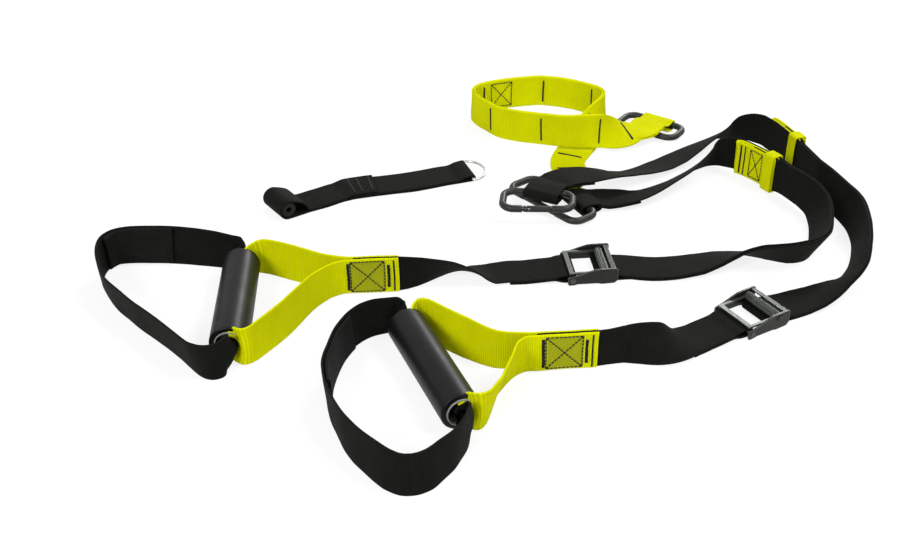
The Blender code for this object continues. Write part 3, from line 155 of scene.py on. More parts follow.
# Tabs and keepers
KEEPER_WIDTH = 0.014
KEEPER_CORNER = 0.0022
KEEPER_GAP = 0.0006
TAB_LENGTH = 0.064
TAIL_IN_TAB = 0.034
TAB_STEP_LENGTH = 0.010
KEEPER_PARTS = 3
TAIL_PLY_STEPS = 1.5
OUTER_PLY_STEPS = 2.5

# Door anchor
ROLLER_DIAMETER = 0.0165
ROLLER_INSET = 0.0010
ROLLER_LENGTH = WEBBING_WIDTH - 2 * ROLLER_INSET
ROLLER_BORE = 0.0055
RING_WIRE = 0.0030
RING_SIDE_GAP = 0.0015
RING_INNER_WIDTH = WEBBING_WIDTH + 2 * RING_SIDE_GAP
RING_CORNER = 0.0018
RING_DEPTH = 0.0200
RING_PARTS = 16

# Places: x and y in layout cells, then degrees
GRIP_L_PLACE_SHARE = (-2.05, -0.72)
GRIP_L_YAW = 93.4
GRIP_R_PLACE_SHARE = (-0.24, -1.69)
GRIP_R_YAW = 112.0
BUCKLE_L_PLACE_SHARE = (1.24, 0.06)
BUCKLE_L_YAW = 6.0
BUCKLE_R_PLACE_SHARE = (2.66, -0.76)
BUCKLE_R_YAW = 31.0
CARABINER_1_PLACE_SHARE = (0.80, 1.13)
CARABINER_1_YAW = -6.0
CARABINER_2_PLACE_SHARE = (0.965, 1.35)
CARABINER_2_YAW = -52.0
CARABINER_3_PLACE_SHARE = (2.22, 3.09)
CARABINER_3_YAW = -35.0
ROLLER_PLACE_SHARE = (-1.88, 1.21)
ROLLER_YAW = 36.0
RING_PLACE_SHARE = (0.07, 2.05)
RING_YAW = 20.0

# Routes: x, y in cells, lean in degrees, lift in webbing widths
CRADLE_L_ROUTE_SHARES = (
    (-2.045, -1.625, 0, 0), (-2.115, -1.66, 2, 0), (-2.20, -1.65, 6, 0), (-2.29, -1.59, 10, 0),
    (-2.46, -1.40, 12, 0), (-2.66, -1.19, 12, 0), (-2.86, -1.00, 12, 0), (-3.05, -0.79, 12, 0),
    (-3.22, -0.59, 10, 0), (-3.37, -0.32, 5, 0), (-3.44, -0.12, 2, 0), (-3.44, 0.08, 4, 0),
    (-3.36, 0.20, 8, 0), (-3.21, 0.25, 14, 0), (-3.03, 0.26, 16, 0), (-2.80, 0.25, 16, 0),
    (-2.56, 0.21, 14, 0), (-2.36, 0.16, 8, 0), (-2.19, 0.105, 2, 0),
)
HANDLE_L_FAR_SHARES = (
    (-1.10, -0.272, 0, 0), (-1.28, -0.225, 0, 0), (-1.46, -0.15, -6, 0), (-1.63, -0.07, -8, 0),
    (-1.79, 0.002, -6, 0), (-1.90, 0.038, -3, 0), (-1.955, 0.052, 0, 0),
)
HANDLE_L_NEAR_SHARES = (
    (-1.873, -1.478, 0, 0), (-1.840, -1.460, 1, 0), (-1.775, -1.355, 4, 0), (-1.65, -1.155, 5, 0),
    (-1.56, -1.00, 5, 0), (-1.46, -0.79, 4, 0), (-1.34, -0.56, 2, 0), (-1.22, -0.41, 0, 0),
    (-1.10, -0.335, 0, 0),
)
BOX_L_SHARES = ((-1.00, -0.300), (-0.58, -0.270))
CRADLE_R_ROUTE_SHARES = (
    (0.04, -2.585, 0, 0), (-0.005, -2.69, 0, 0), (-0.06, -2.79, -3, 0), (-0.135, -2.88, -6, 0),
    (-0.22, -2.98, -8, 0), (-0.33, -3.05, -8, 0), (-0.45, -3.06, -8, 0), (-0.57, -2.99, -8, 0),
    (-0.68, -2.88, -6, 0), (-0.80, -2.74, -3, 0), (-0.92, -2.56, 0, 0), (-1.01, -2.36, 3, 0),
    (-1.09, -2.13, 4, 0), (-1.13, -1.90, 4, 0), (-1.11, -1.66, 4, 0), (-1.06, -1.41, 5, 0),
    (-0.98, -1.21, 6, 0), (-0.88, -1.07, 6, 0), (-0.76, -0.99, 4, 0), (-0.63, -0.955, 0, 0),
)
HANDLE_R_FAR_SHARES = (
    (0.56, -1.482, 0, 0), (0.41, -1.49, -3, 0), (0.30, -1.47, -6, 0), (0.18, -1.40, -10, 0),
    (0.04, -1.29, -16, 0), (-0.10, -1.18, -16, 0), (-0.21, -1.075, -12, 0), (-0.295, -0.99, -6, 0),
    (-0.369, -0.930, 0, 0), (-0.405, -0.928, 0, 0),
)
HANDLE_R_NEAR_SHARES = (
    (0.158, -2.354, 0, 0), (0.188, -2.330, -2, 0), (0.238, -2.225, -8, 0), (0.30, -2.06, -14, 0),
    (0.34, -1.91, -16, 0), (0.40, -1.77, -12, 0), (0.47, -1.62, -4, 0), (0.56, -1.540, 0, 0),
)
BOX_R_SHARES = ((0.66, -1.505), (1.18, -1.455))
LOWER_L_ROUTE_SHARES = (
    (-0.50, -0.26, -5, 0), (-0.39, -0.235, -14, 0), (-0.27, -0.20, -26, 0), (-0.12, -0.14, -40, 0),
    (0.02, -0.09, -56, 0), (0.17, -0.04, -74, 0), (0.31, -0.02, -88, 0.03), (0.46, 0.00, -90, 0.065),
    (0.62, 0.01, -90, 0.07), (0.76, 0.02, -90, 0.10),
)
LOWER_R_ROUTE_SHARES = (
    (1.28, -1.435, 0, 0), (1.42, -1.40, 4, 0), (1.58, -1.375, 18, 0), (1.74, -1.34, 38, 0),
    (1.88, -1.265, 62, 0.04), (2.00, -1.17, 84, 0.09), (2.12, -1.085, 90, 0.10), (2.21, -1.025, 90, 0.10),
)
UPPER_L_ROUTE_SHARES = (
    (1.65, 0.10, 90, 0), (1.86, 0.07, 90, 0), (2.08, 0.08, 92, 0), (2.31, 0.13, 96, 0),
    (2.52, 0.18, 106, 0), (2.75, 0.20, 122, 0), (2.96, 0.16, 138, 0), (3.18, 0.12, 148, 0),
    (3.37, 0.16, 152, 0), (3.51, 0.29, 152, 0), (3.58, 0.50, 152, 0), (3.64, 0.73, 154, 0),
    (3.66, 0.94, 158, 0.03), (3.63, 1.12, 168, 0.08), (3.55, 1.29, 178, 0.11), (3.46, 1.46, 180, 0.11),
    (3.35, 1.67, 180, 0.11), (3.22, 1.87, 180, 0.11), (3.09, 2.02, 180, 0.11), (2.98, 2.11, 184, 0.08),
)
FREE_L_ROUTE_SHARES = (
    (2.87, 2.15, 192, 0.04), (2.75, 2.11, 206, 0), (2.61, 1.98, 218, 0), (2.46, 1.84, 228, 0),
    (2.30, 1.70, 234, 0), (2.15, 1.59, 240, 0), (1.98, 1.48, 248, 0.01), (1.82, 1.42, 258, 0.06),
    (1.68, 1.41, 266, 0.11), (1.55, 1.40, 270, 0.14),
)
UPPER_R_ROUTE_SHARES = (
    (3.02, -0.57, 90, 0), (3.16, -0.51, 92, 0), (3.30, -0.46, 98, 0), (3.43, -0.40, 108, 0),
    (3.54, -0.34, 120, 0), (3.64, -0.28, 132, 0), (3.74, -0.17, 144, 0), (3.84, 0.04, 156, 0),
    (3.93, 0.29, 163, 0), (3.99, 0.55, 165, 0), (4.01, 0.82, 164, 0), (3.98, 1.03, 162, 0),
    (3.92, 1.22, 162, 0.02), (3.85, 1.42, 168, 0.05), (3.79, 1.62, 178, 0.09), (3.735, 1.84, 180, 0.11),
    (3.675, 2.06, 180, 0.11), (3.605, 2.28, 180, 0.11), (3.535, 2.48, 180, 0.11), (3.46, 2.65, 181, 0.11),
)
FREE_R_ROUTE_SHARES = (
    (3.35, 2.76, 188, 0.07), (3.22, 2.81, 200, 0.03), (3.08, 2.80, 218, 0), (2.97, 2.76, 228, 0),
    (2.85, 2.68, 234, 0), (2.72, 2.57, 240, 0), (2.57, 2.44, 248, 0), (2.40, 2.30, 256, 0),
    (2.22, 2.15, 258, 0), (2.03, 2.00, 254, 0.02), (1.84, 1.87, 250, 0.08), (1.66, 1.78, 252, 0.20),
    (1.51, 1.745, 260, 0.31), (1.37, 1.715, 268, 0.40), (1.235, 1.67, 270, 0.46),
    (1.11, 1.605, 270, 0.488),
)
ANCHOR_ROUTE_SHARES = (
    (1.17, 1.84, 90, 0.08), (1.205, 1.98, 90, 0.03), (1.20, 2.14, 90, 0), (1.20, 2.31, 90, 0),
    (1.27, 2.49, 88, 0), (1.38, 2.70, 76, 0), (1.50, 2.90, 52, 0),
    (1.61, 3.08, 26, 0), (1.68, 3.25, 10, 0), (1.69, 3.41, 2, 0), (1.63, 3.53, 0, 0),
    (1.53, 3.61, 0, 0), (1.36, 3.71, 0, 0), (1.16, 3.79, 0, 0), (0.95, 3.83, 0, 0),
    (0.76, 3.80, 0, 0), (0.56, 3.75, 0, 0), (0.37, 3.68, 0, 0), (0.22, 3.59, 0, 0),
    (0.15, 3.46, 0, 0), (0.19, 3.30, 0, 0), (0.30, 3.11, 0, 0.03), (0.44, 2.91, 0, 0.07),
    (0.63, 2.77, 0, 0.12), (0.85, 2.67, 0, 0.17), (1.07, 2.58, 2, 0.21), (1.27, 2.55, 4, 0.22),
    (1.45, 2.57, 10, 0.20), (1.61, 2.62, 22, 0.14), (1.75, 2.68, 42, 0.10), (1.87, 2.745, 62, 0.14),
    (1.965, 2.81, 82, 0.25),
)
DOOR_ROUTE_SHARES = (
    (-1.50, 1.46, 90, 0), (-1.34, 1.57, 90, 0), (-1.17, 1.655, 90, 0), (-1.00, 1.705, 90, 0),
    (-0.80, 1.755, 90, 0), (-0.58, 1.81, 90, 0), (-0.36, 1.89, 90, 0), (-0.20, 1.955, 90, 0),
)

# Shares along the pieces, and skews in degrees
ANCHOR_LOOP_SHARE = -0.19
ANCHOR_SKEW = 0.0
STRAP_2_LOOP_SHARE = 0.21
STRAP_2_SKEW = -10.0
STRAP_1_LOOP_SHARE = 0.08
STRAP_1_SKEW = -20.0
ANCHOR_FINISH_SHARE = 0.02
PLUNGE_SHARE = 0.60
DOOR_SEAM_SHARE = 0.24
PAD_L_SPAN_SHARES = (0.60, 0.83)
PAD_R_SPAN_SHARES = (0.62, 0.86)
LEAVING_SHARES = (1.0, 0.8, 0.5, 0.2)
BAR_PLACE_SHARE = 0.10
PIN_PLACE_SHARE = 0.76
GATE_START_SHARE = 0.17
GATE_STOP_SHARE = 0.80

# Places worked out from the sizes
BAR_X = BUCKLE_LENGTH * (BAR_PLACE_SHARE - 0.5)
PIN_X = BUCKLE_LENGTH * (PIN_PLACE_SHARE - 0.5)
LOWER_PLY_Z = FLOOR_GAP + WEBBING_THICKNESS / 2
ANVIL_BOTTOM = FLOOR_GAP + WEBBING_THICKNESS + PLY_GAP
ANVIL_TOP = ANVIL_BOTTOM + ANVIL_THICKNESS
UPPER_PLY_Z = ANVIL_TOP + PLY_GAP + WEBBING_THICKNESS / 2
PIN_Z = UPPER_PLY_Z + WEBBING_THICKNESS / 2 + CAM_GAP + CAM_RADIUS
BAR_LOOP_RADIUS = BAR_DIAMETER / 2 + LOOP_ROOM
BAR_Z = FLOOR_GAP + BAR_LOOP_RADIUS + WEBBING_THICKNESS / 2
PLATE_OUTSIDE = BUCKLE_INNER_WIDTH / 2 + PLATE_THICKNESS
CAM_HALF = BUCKLE_INNER_WIDTH / 2 - CAM_SIDE_GAP


def link(obj):
    """Link an object to the scene, once."""
    if obj.name not in bpy.context.scene.collection.objects:
        bpy.context.scene.collection.objects.link(obj)


def swept_rod(name, points, radius, closed=False, resolution=2):
    """A round rod along a route, as a mesh."""
    curve = bpy.data.curves.new(name, "CURVE")
    curve.dimensions = "3D"
    curve.bevel_depth = radius
    curve.bevel_resolution = resolution
    curve.use_fill_caps = True
    spline = curve.splines.new("POLY")
    spline.points.add(len(points) - 1)
    for knot, point in zip(spline.points, points):
        knot.co = (*point, 1)
    spline.use_cyclic_u = closed
    holder = bpy.data.objects.new(name + "_route", curve)
    link(holder)
    shape = holder.evaluated_get(bpy.context.evaluated_depsgraph_get())
    mesh = bpy.data.meshes.new_from_object(shape)
    bpy.data.objects.remove(holder, do_unlink=True)
    bm = bmesh.new()
    bm.from_mesh(mesh)
    bmesh.ops.remove_doubles(bm, verts=bm.verts, dist=WELD)
    bmesh.ops.recalc_face_normals(bm, faces=bm.faces)
    bm.to_mesh(mesh)
    bm.free()
    return bpy.data.objects.new(name, mesh)


def helix(radius, pitch, curls, points):
    """Points of a coil round the local X axis, centred on the origin."""
    count = curls * points + 1
    steps = np.arange(count)
    turn = 2 * math.pi * steps / points
    along = pitch * (steps / points - curls / 2)
    return [Vector((a, radius * math.cos(t), radius * math.sin(t))) for a, t in zip(along, turn)]


def seat_at(place_share, yaw, height):
    """A place on the floor, turned about the vertical."""
    x_share, y_share = place_share
    move = Matrix.Translation((x_share * LAYOUT_CELL, y_share * LAYOUT_CELL, height))
    return move @ Matrix.Rotation(math.radians(yaw), 4, "Z")


def turned(name, outline, sides):
    """An outline of (along, radius) points turned about the local X axis with a Screw modifier."""
    mesh = bpy.data.meshes.new(name)
    points = [(along, radius, 0) for along, radius in outline]
    last = len(points) - 1
    edges = [(i, i + 1) for i in range(last)]
    if outline[0][1] > 0:
        edges.append((last, 0))
    mesh.from_pydata(points, edges, [])
    obj = bpy.data.objects.new(name, mesh)
    spin = obj.modifiers.new("turn", "SCREW")
    spin.axis = "X"
    spin.steps = sides
    spin.render_steps = sides
    spin.use_merge_vertices = True
    spin.merge_threshold = TURN_WELD
    spin.use_normal_calculate = False
    spin.use_normal_flip = True
    return obj


def box(name, low, high):
    """A box between two corners."""
    low, high = Vector(low), Vector(high)
    bm = bmesh.new()
    bmesh.ops.create_cube(bm, size=1)
    to_size = Matrix.Diagonal((*(high - low), 1))
    bmesh.ops.transform(bm, matrix=Matrix.Translation((low + high) / 2) @ to_size, verts=bm.verts)
    bmesh.ops.recalc_face_normals(bm, faces=bm.faces)
    mesh = bpy.data.meshes.new(name)
    bm.to_mesh(mesh)
    bm.free()
    return bpy.data.objects.new(name, mesh)


def combine(obj, other, operation):
    """A Boolean of the object with another one."""
    change = obj.modifiers.new(operation.lower(), "BOOLEAN")
    change.operation = operation
    change.solver = "EXACT"
    change.object = other


class Station:
    """A point on a strap's centre, the direction of its width and its curl."""

    def __init__(self, point, across, curl=0.0):
        self.point = Vector(point)
        self.across = Vector(across).normalized()
        self.curl = curl


def route(table, plies=1):
    """Stations on the floor from a table of x, y, lean and lift, at the middle of a stack of plies."""
    spots = [Vector((x_share * LAYOUT_CELL, y_share * LAYOUT_CELL, 0)) for x_share, y_share, *_ in table]
    stations = []
    for i, (x_share, y_share, lean, lift_share) in enumerate(table):
        travel = (spots[min(i + 1, len(spots) - 1)] - spots[max(i - 1, 0)]).normalized()
        left = Vector((0, 0, 1)).cross(travel)
        lean = math.radians(lean)
        across = math.cos(lean) * Vector((0, 0, 1)) + math.sin(lean) * left
        reach = WEBBING_WIDTH * abs(math.cos(lean)) + WEBBING_THICKNESS * abs(math.sin(lean))
        stack = (plies - 1) * PLY_STEP / 2 * abs(math.sin(lean))
        height = FLOOR_GAP + reach / 2 + stack + lift_share * WEBBING_WIDTH
        stations.append(Station(spots[i] + Vector((0, 0, height)), across))
    return stations


def back(stations):
    return stations[::-1]


def joined(*parts):
    """Parts of one strap end to end, each with its width direction kept to the same side."""
    stations = list(parts[0])
    for part in parts[1:]:
        sign = 1 if part[0].across.dot(stations[-1].across) > 0 else -1
        stations += [Station(s.point, s.across * sign, s.curl) for s in part]
    return stations


def onward(rows, stations):
    """Finished rows, carried on smoothly through more stations."""
    more = smooth_route(joined(rows[-2:], stations))
    start = min(range(len(more)), key=lambda i: (more[i].point - rows[-1].point).length) + 1
    return rows + more[start:]


def travel_at(stations, i, closed=False):
    """The direction in which the strap runs at one station."""
    if closed:
        before, after = stations[i - 1], stations[(i + 1) % len(stations)]
    else:
        before, after = stations[max(i - 1, 0)], stations[min(i + 1, len(stations) - 1)]
    return (after.point - before.point).normalized()


def facing(stations, i):
    """The direction square to the strap's face at one station."""
    return travel_at(stations, i).cross(stations[i].across).normalized()


def squared(rows, closed):
    """The same rows, with each width direction brought square to the strap's travel."""
    made = []
    for i, row in enumerate(rows):
        travel = travel_at(rows, i, closed)
        made.append(Station(row.point, row.across - travel * row.across.dot(travel), row.curl))
    return made


def cut(stations, start, end):
    """The stations between two distances along a strap, counted from its first station."""
    kept, walked = [], 0.0
    for a, b in zip(stations, stations[1:]):
        span = (b.point - a.point).length
        for mark in (start, end):
            if walked <= mark <= walked + span and span > 0:
                kept.append(between(a, b, (mark - walked) / span))
        walked += span
        if start + ROW_MIN < walked < end - ROW_MIN:
            kept.append(b)
    return kept


def length_of(stations):
    return sum((b.point - a.point).length for a, b in zip(stations, stations[1:]))


def between(first, second, share):
    return Station(first.point.lerp(second.point, share), first.across.lerp(second.across, share))


def shifted(stations, amount):
    """The same stations moved off to one side, square to the strap's face."""
    moved = []
    for i, station in enumerate(stations):
        moved.append(Station(station.point + facing(stations, i) * amount, station.across, station.curl))
    return moved


def smooth_route(stations, closed=False):
    """A smooth route through the stations, with rows where it bends."""
    count = len(stations)
    spans = count if closed else count - 1

    def pick(i):
        return stations[i % count] if closed else stations[min(max(i, 0), count - 1)]

    def blend(values, t):
        a, b, c, d = values
        return 0.5 * (2 * b + (c - a) * t + (2 * a - 5 * b + 4 * c - d) * t ** 2
                      + (3 * b - a - 3 * c + d) * t ** 3)

    def knots(i):
        """The four values round a span, with the outer ones brought to the span's own length."""
        four = [pick(i + k) for k in (-1, 0, 1, 2)]
        points = [s.point for s in four]
        length = (points[2] - points[1]).length
        for near, far in ((1, 0), (2, 3)):
            step = points[far] - points[near]
            if step.length > length > 0:
                points[far] = points[near] + step.normalized() * length
            elif step.length == 0:
                points[far] = 2 * points[near] - points[3 - near]
        return four, points

    rows = []
    for i in range(spans):
        four, points = knots(i)
        length = (points[2] - points[1]).length
        into = points[2] - points[0]
        out = points[3] - points[1]
        turn = math.degrees(into.angle(out, 0) + four[1].across.angle(four[2].across, 0))
        parts = math.ceil(turn / ROW_TURN_DEG)
        parts = max(parts, math.ceil(length / ROW_MAX) if turn > 1 else 1)
        if abs(four[1].curl - four[2].curl) > 0:
            parts = max(parts, 3)
        parts = max(1, min(parts, math.ceil(length / ROW_MIN)))
        for k in range(parts):
            t = k / parts
            point = blend(points, t)
            across = four[1].across.lerp(four[2].across, t)
            curl = four[1].curl + (four[2].curl - four[1].curl) * (3 - 2 * t) * t * t
            rows.append(Station(point, across, curl))
    if not closed:
        rows.append(Station(stations[-1].point, stations[-1].across, stations[-1].curl))
    return squared(rows, closed)


def loop_round(centre, heading, radius, spacing, neck, drop=0.0, slack=0.0):
    """Stations out along the upper ply, round a bar and back along the lower ply, with slack past the bar."""
    centre, heading = Vector(centre), Vector(heading).normalized()
    up = Vector((0, 0, 1))
    across = up.cross(heading).normalized()
    half = spacing / 2
    middle = (half + radius) * NECK_SHARE
    near = -slack / 2
    points = [(near - neck, half - drop), (near - (radius + neck) / 2, middle - drop * NECK_DROP_SHARE)]
    if slack > 0:
        points.append((near, radius))
    for degrees in LOOP_TURNS:
        turn = math.radians(degrees)
        points.append((slack / 2 + radius * math.cos(turn), radius * math.sin(turn)))
    if slack > 0:
        points.append((near, -radius))
    points += [(near - (radius + neck) / 2, -middle - drop * NECK_DROP_SHARE), (near - neck, -half - drop)]
    stations = []
    for along, high in points:
        spot = centre + heading * along + up * high
        spot.z = max(spot.z, FLOOR_GAP + WEBBING_THICKNESS / 2)
        stations.append(Station(spot, across))
    return stations


def through_tube(axis, far_exit, near_exit):
    """Stations through a grip from its far end to its near end, rolled up as an open tube."""
    centre = axis.translation
    along = (axis.to_3x3() @ Vector((1, 0, 0))).normalized()
    up = Vector((0, 0, 1))
    side = along.cross(up).normalized()
    half = GRIP_LENGTH / 2 + TUBE_PROUD
    radius = far_exit[0][1]
    steps = [(half + out, off, roll) for out, off, roll in far_exit[::-1]]
    steps += [(half * share, radius, 1) for share in (0.5, -0.5)]
    steps += [(-half - out, off, roll) for out, off, roll in near_exit]
    stations = []
    for reach, off, roll in steps:
        spot = centre + along * reach + side * off
        turn = min(roll / radius * WEBBING_WIDTH / 2, math.pi / 2)
        spot.z = max(spot.z, FLOOR_GAP + math.sin(turn) * radius / roll)
        stations.append(Station(spot, up, roll / radius))
    return stations


def handle(side, axis, far_shares, near_shares, box_shares):
    """The yellow webbing that runs through a grip, both legs sewn over the black strap."""
    (x0, y0), (x1, y1) = box_shares
    start = [Station(s.point, s.across) for s in route(((x0, y0, 0, 0), (x1, y1, 0, 0)))]
    far_box = shifted(back(start), PLY_STEP)
    near_box = shifted(start, PLY_STEP)
    stations = far_box + route(far_shares) + through_tube(axis, STRAP_EXIT, STRAP_EXIT)
    stations += route(near_shares) + near_box
    ribbon("handle_strap_" + side, smooth_route(stations), YELLOW_WEBBING, parts=CURL_PARTS)
    return start


def cradle(side, axis, shares, pad_span_shares):
    """The closed foot loop through the same grip, and the lining sewn inside it."""
    stations = through_tube(axis, CRADLE_FAR_EXIT, CRADLE_NEAR_EXIT) + route(shares)
    rows = smooth_route(stations, closed=True)
    ribbon("foot_cradle_" + side, rows, BLACK_WEBBING, closed=True, parts=CURL_PARTS)
    walk = route(shares)
    first, last = (round(share * (len(walk) - 1)) for share in pad_span_shares)
    lining = shifted(walk, WEBBING_THICKNESS / 2 + PLY_GAP + PAD_THICKNESS / 2)[first:last + 1]
    ribbon("cradle_pad_" + side, smooth_route(lining), "lining", width=PAD_WIDTH,
           thickness=PAD_THICKNESS)


def bar_loop(seat):
    """Upper ply in, round the fixed bar of a buckle and out along the lower ply."""
    centre = seat @ Vector((BAR_X, 0, BAR_Z))
    heading = seat.to_3x3() @ Vector((1, 0, 0))
    return loop_round(centre, heading, BAR_LOOP_RADIUS, PLY_STEP, LOOP_NECK)


def anvil_turn(seat):
    """Lower ply in from the adjustable side, round the anvil and out under the cam."""
    across = seat.to_3x3() @ Vector((0, 1, 0))
    middle = (UPPER_PLY_Z + LOWER_PLY_Z) / 2
    radius = (UPPER_PLY_Z - LOWER_PLY_Z) / 2
    nose = PIN_X - ANVIL_LENGTH / 2
    tail = BUCKLE_LENGTH / 2
    points = [(tail, LOWER_PLY_Z), (PIN_X, LOWER_PLY_Z)]
    for degrees in (-90, -130, -180, -230, -270):
        turn = math.radians(degrees)
        points.append((nose + radius * math.cos(turn), middle + radius * math.sin(turn)))
    points += [(PIN_X, UPPER_PLY_Z), (tail - ANVIL_LENGTH / 2, UPPER_PLY_Z)]
    return [Station(seat @ Vector((x, 0, z)), across) for x, z in points]


def ring_outline(length):
    """Corners of the ring: left end full width, right end narrower on the gate side."""
    half, side = length / 2, CARABINER_WIDTH / 2
    corners = [Vector((-half, -side, 0)), Vector((-half, side, 0)), Vector((half, side, 0)),
               Vector((half, CARABINER_NARROWING - side, 0))]
    points = []
    for i, corner in enumerate(corners):
        before, after = corners[i - 1], corners[(i + 1) % len(corners)]
        into, out = (corner - before).normalized(), (after - corner).normalized()
        opening = math.pi - into.angle(out)
        reach = CARABINER_CORNER / math.tan(opening / 2)
        start, end = corner - into * reach, corner + out * reach
        centre = corner + (out - into).normalized() * CARABINER_CORNER / math.sin(opening / 2)
        for k in range(CORNER_POINTS):
            point = start.lerp(end, k / (CORNER_POINTS - 1))
            points.append(centre + (point - centre).normalized() * CARABINER_CORNER)
    return points


def rod_loop(seat, along, skew):
    """Upper ply in, round the spine of a carabiner and out along the lower ply, skewed across the rod."""
    centre = seat @ Vector((along, CARABINER_WIDTH / 2, 0))
    skew = math.radians(skew)
    heading = seat.to_3x3() @ Vector((math.sin(skew), -math.cos(skew), 0))
    slack = WEBBING_WIDTH * math.tan(abs(skew))
    return loop_round(centre, heading, ROD_DIAMETER / 2 + LOOP_ROOM, PLY_STEP, LOOP_NECK, slack=slack)


def over_gate_loop(seat, along):
    """Lower ply in over the gate, round the spine from below and out along the upper ply."""
    centre = seat @ Vector((along, CARABINER_WIDTH / 2, 0))
    heading = seat.to_3x3() @ Vector((0, 1, 0))
    radius = ROD_DIAMETER / 2 + LOOP_ROOM
    loop = loop_round(centre, heading, radius, PLY_STEP, LOOP_NECK)[1:-1]
    up = Vector((0, 0, 1))
    lower, upper = [], []
    for away in (CARABINER_WIDTH + ROD_DIAMETER, CARABINER_WIDTH - ROD_DIAMETER / 2,
                 CARABINER_WIDTH * PLUNGE_SHARE):
        spot = centre - heading * away + up * radius
        lower.append(Station(spot, loop[0].across))
        upper.append(Station(spot + up * PLY_STEP, loop[0].across))
    return lower + back(loop) + back(upper)


def looped_end(rows, loop):
    """A strap's last stretch, its loop round a bar and the short end sewn back under it."""
    amount = -PLY_STEP if facing(rows, len(rows) - 1).z > 0 else PLY_STEP
    total = length_of(rows)
    under = shifted(cut(rows, total - SEAM_LENGTH, total), amount)
    return joined(onward(rows, loop), back(under))


def lower_strap(side, box_stations, shares, seat):
    """From between the yellow plies to the buckle's fixed bar, turned back and sewn."""
    rows = looped_end(smooth_route(box_stations + route(shares)), bar_loop(seat))
    ribbon("lower_strap_" + side, rows, BLACK_WEBBING)


def upper_strap(side, seat, shared_table, free_table, loop, tail_side):
    """From the tab down to the buckle, round its anvil, back up past the tab to the carabiner's loop."""
    shared = smooth_route(route(shared_table, plies=2))
    total = length_of(shared)
    step = PLY_STEP * tail_side
    main = shifted(shared, -step / 2)
    tab_start = total - TAB_LENGTH
    tail = shifted(cut(shared, 0, tab_start - TAB_STEP_LENGTH), step / 2)
    tail += shifted(cut(shared, tab_start, tab_start + TAIL_IN_TAB), step * TAIL_PLY_STEPS)
    turn = anvil_turn(seat) if tail_side < 0 else back(anvil_turn(seat))
    free = route(free_table)
    for i, share in enumerate(LEAVING_SHARES):
        free[i].point += facing(free, i) * -step / 2 * share
    rows = onward(joined(onward(back(tail), turn), main), free)
    ribbon("upper_strap_" + side, looped_end(rows, loop), BLACK_WEBBING)
    return shared


def tab(side, shared, tail_side):
    """Yellow webbing folded at its far end, with the tail sewn between its plies, and its keeper."""
    step = PLY_STEP * tail_side
    total = length_of(shared)
    held = cut(shared, total - TAB_LENGTH, total - TAB_STEP_LENGTH)
    inner, outer = (shifted(held, offset) for offset in (step / 2, step * OUTER_PLY_STEPS))
    travel = (inner[-1].point - inner[-2].point).normalized()
    middle = (inner[-1].point + outer[-1].point) / 2
    spread = (inner[-1].point - outer[-1].point) / 2
    fold = []
    for degrees in (60, 0, -60):
        turn = math.radians(degrees)
        spot = middle + travel * spread.length * math.cos(turn) + spread * math.sin(turn)
        fold.append(Station(spot, inner[-1].across))
    ribbon("adjuster_tab_" + side, onward(inner, fold) + back(outer), YELLOW_WEBBING)

    near = cut(shared, total - TAB_LENGTH, total - TAB_LENGTH + KEEPER_WIDTH)
    first, last = near[0], near[-1]
    spot = between(first, last, 0.5)
    travel = (last.point - first.point).normalized()
    across = spot.across
    face = travel.cross(across).normalized() * tail_side
    clear = WEBBING_THICKNESS + KEEPER_GAP
    high = PLY_STEP * OUTER_PLY_STEPS + clear
    low = -PLY_STEP / 2 - clear
    wide = WEBBING_WIDTH / 2 + KEEPER_GAP + WEBBING_THICKNESS / 2
    band = []
    for sign_across, sign_face, start in ((1, 1, 0), (-1, 1, 90), (-1, -1, 180), (1, -1, 270)):
        corner_across = sign_across * (wide - KEEPER_CORNER)
        corner_face = (high - KEEPER_CORNER) if sign_face > 0 else (low + KEEPER_CORNER)
        for k in range(KEEPER_PARTS + 1):
            turn = math.radians(start + 90 * k / KEEPER_PARTS)
            offset = across * (corner_across + KEEPER_CORNER * math.cos(turn))
            offset += face * (corner_face + KEEPER_CORNER * math.sin(turn))
            band.append(Station(spot.point + offset, travel))
    ribbon("tab_keeper_" + side, band, YELLOW_WEBBING, closed=True, width=KEEPER_WIDTH)


def anchor():
    """The yellow anchor strap, an endless loop flattened to two plies."""
    line = smooth_route(route(ANCHOR_ROUTE_SHARES, plies=2))
    apart = PLY_STEP / 2
    start = rod_loop(carabiner_2, LONG_CARABINER_LENGTH * ANCHOR_LOOP_SHARE, ANCHOR_SKEW)
    finish = over_gate_loop(carabiner_3, CARABINER_LENGTH * ANCHOR_FINISH_SHARE)
    rows = joined(onward(shifted(line, -apart), finish), back(shifted(line, apart)))
    ribbon("anchor_strap", onward(rows, start), YELLOW_WEBBING, closed=True)


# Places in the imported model

LOW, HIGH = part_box("foam_grip_l")
GRIP_L_SEAT = seat_at(GRIP_L_PLACE_SHARE, GRIP_L_YAW, FLOOR_GAP + FOAM_DIAMETER / 2)
ORIGIN = Matrix.Translation((LOW + HIGH) / 2 - GRIP_L_SEAT.translation)
BODY_OF = {node: body for body, nodes in frame["record"]["behaviour"]["bodies"].items() for node in nodes}
PLY_ROWS = {}


# Materials

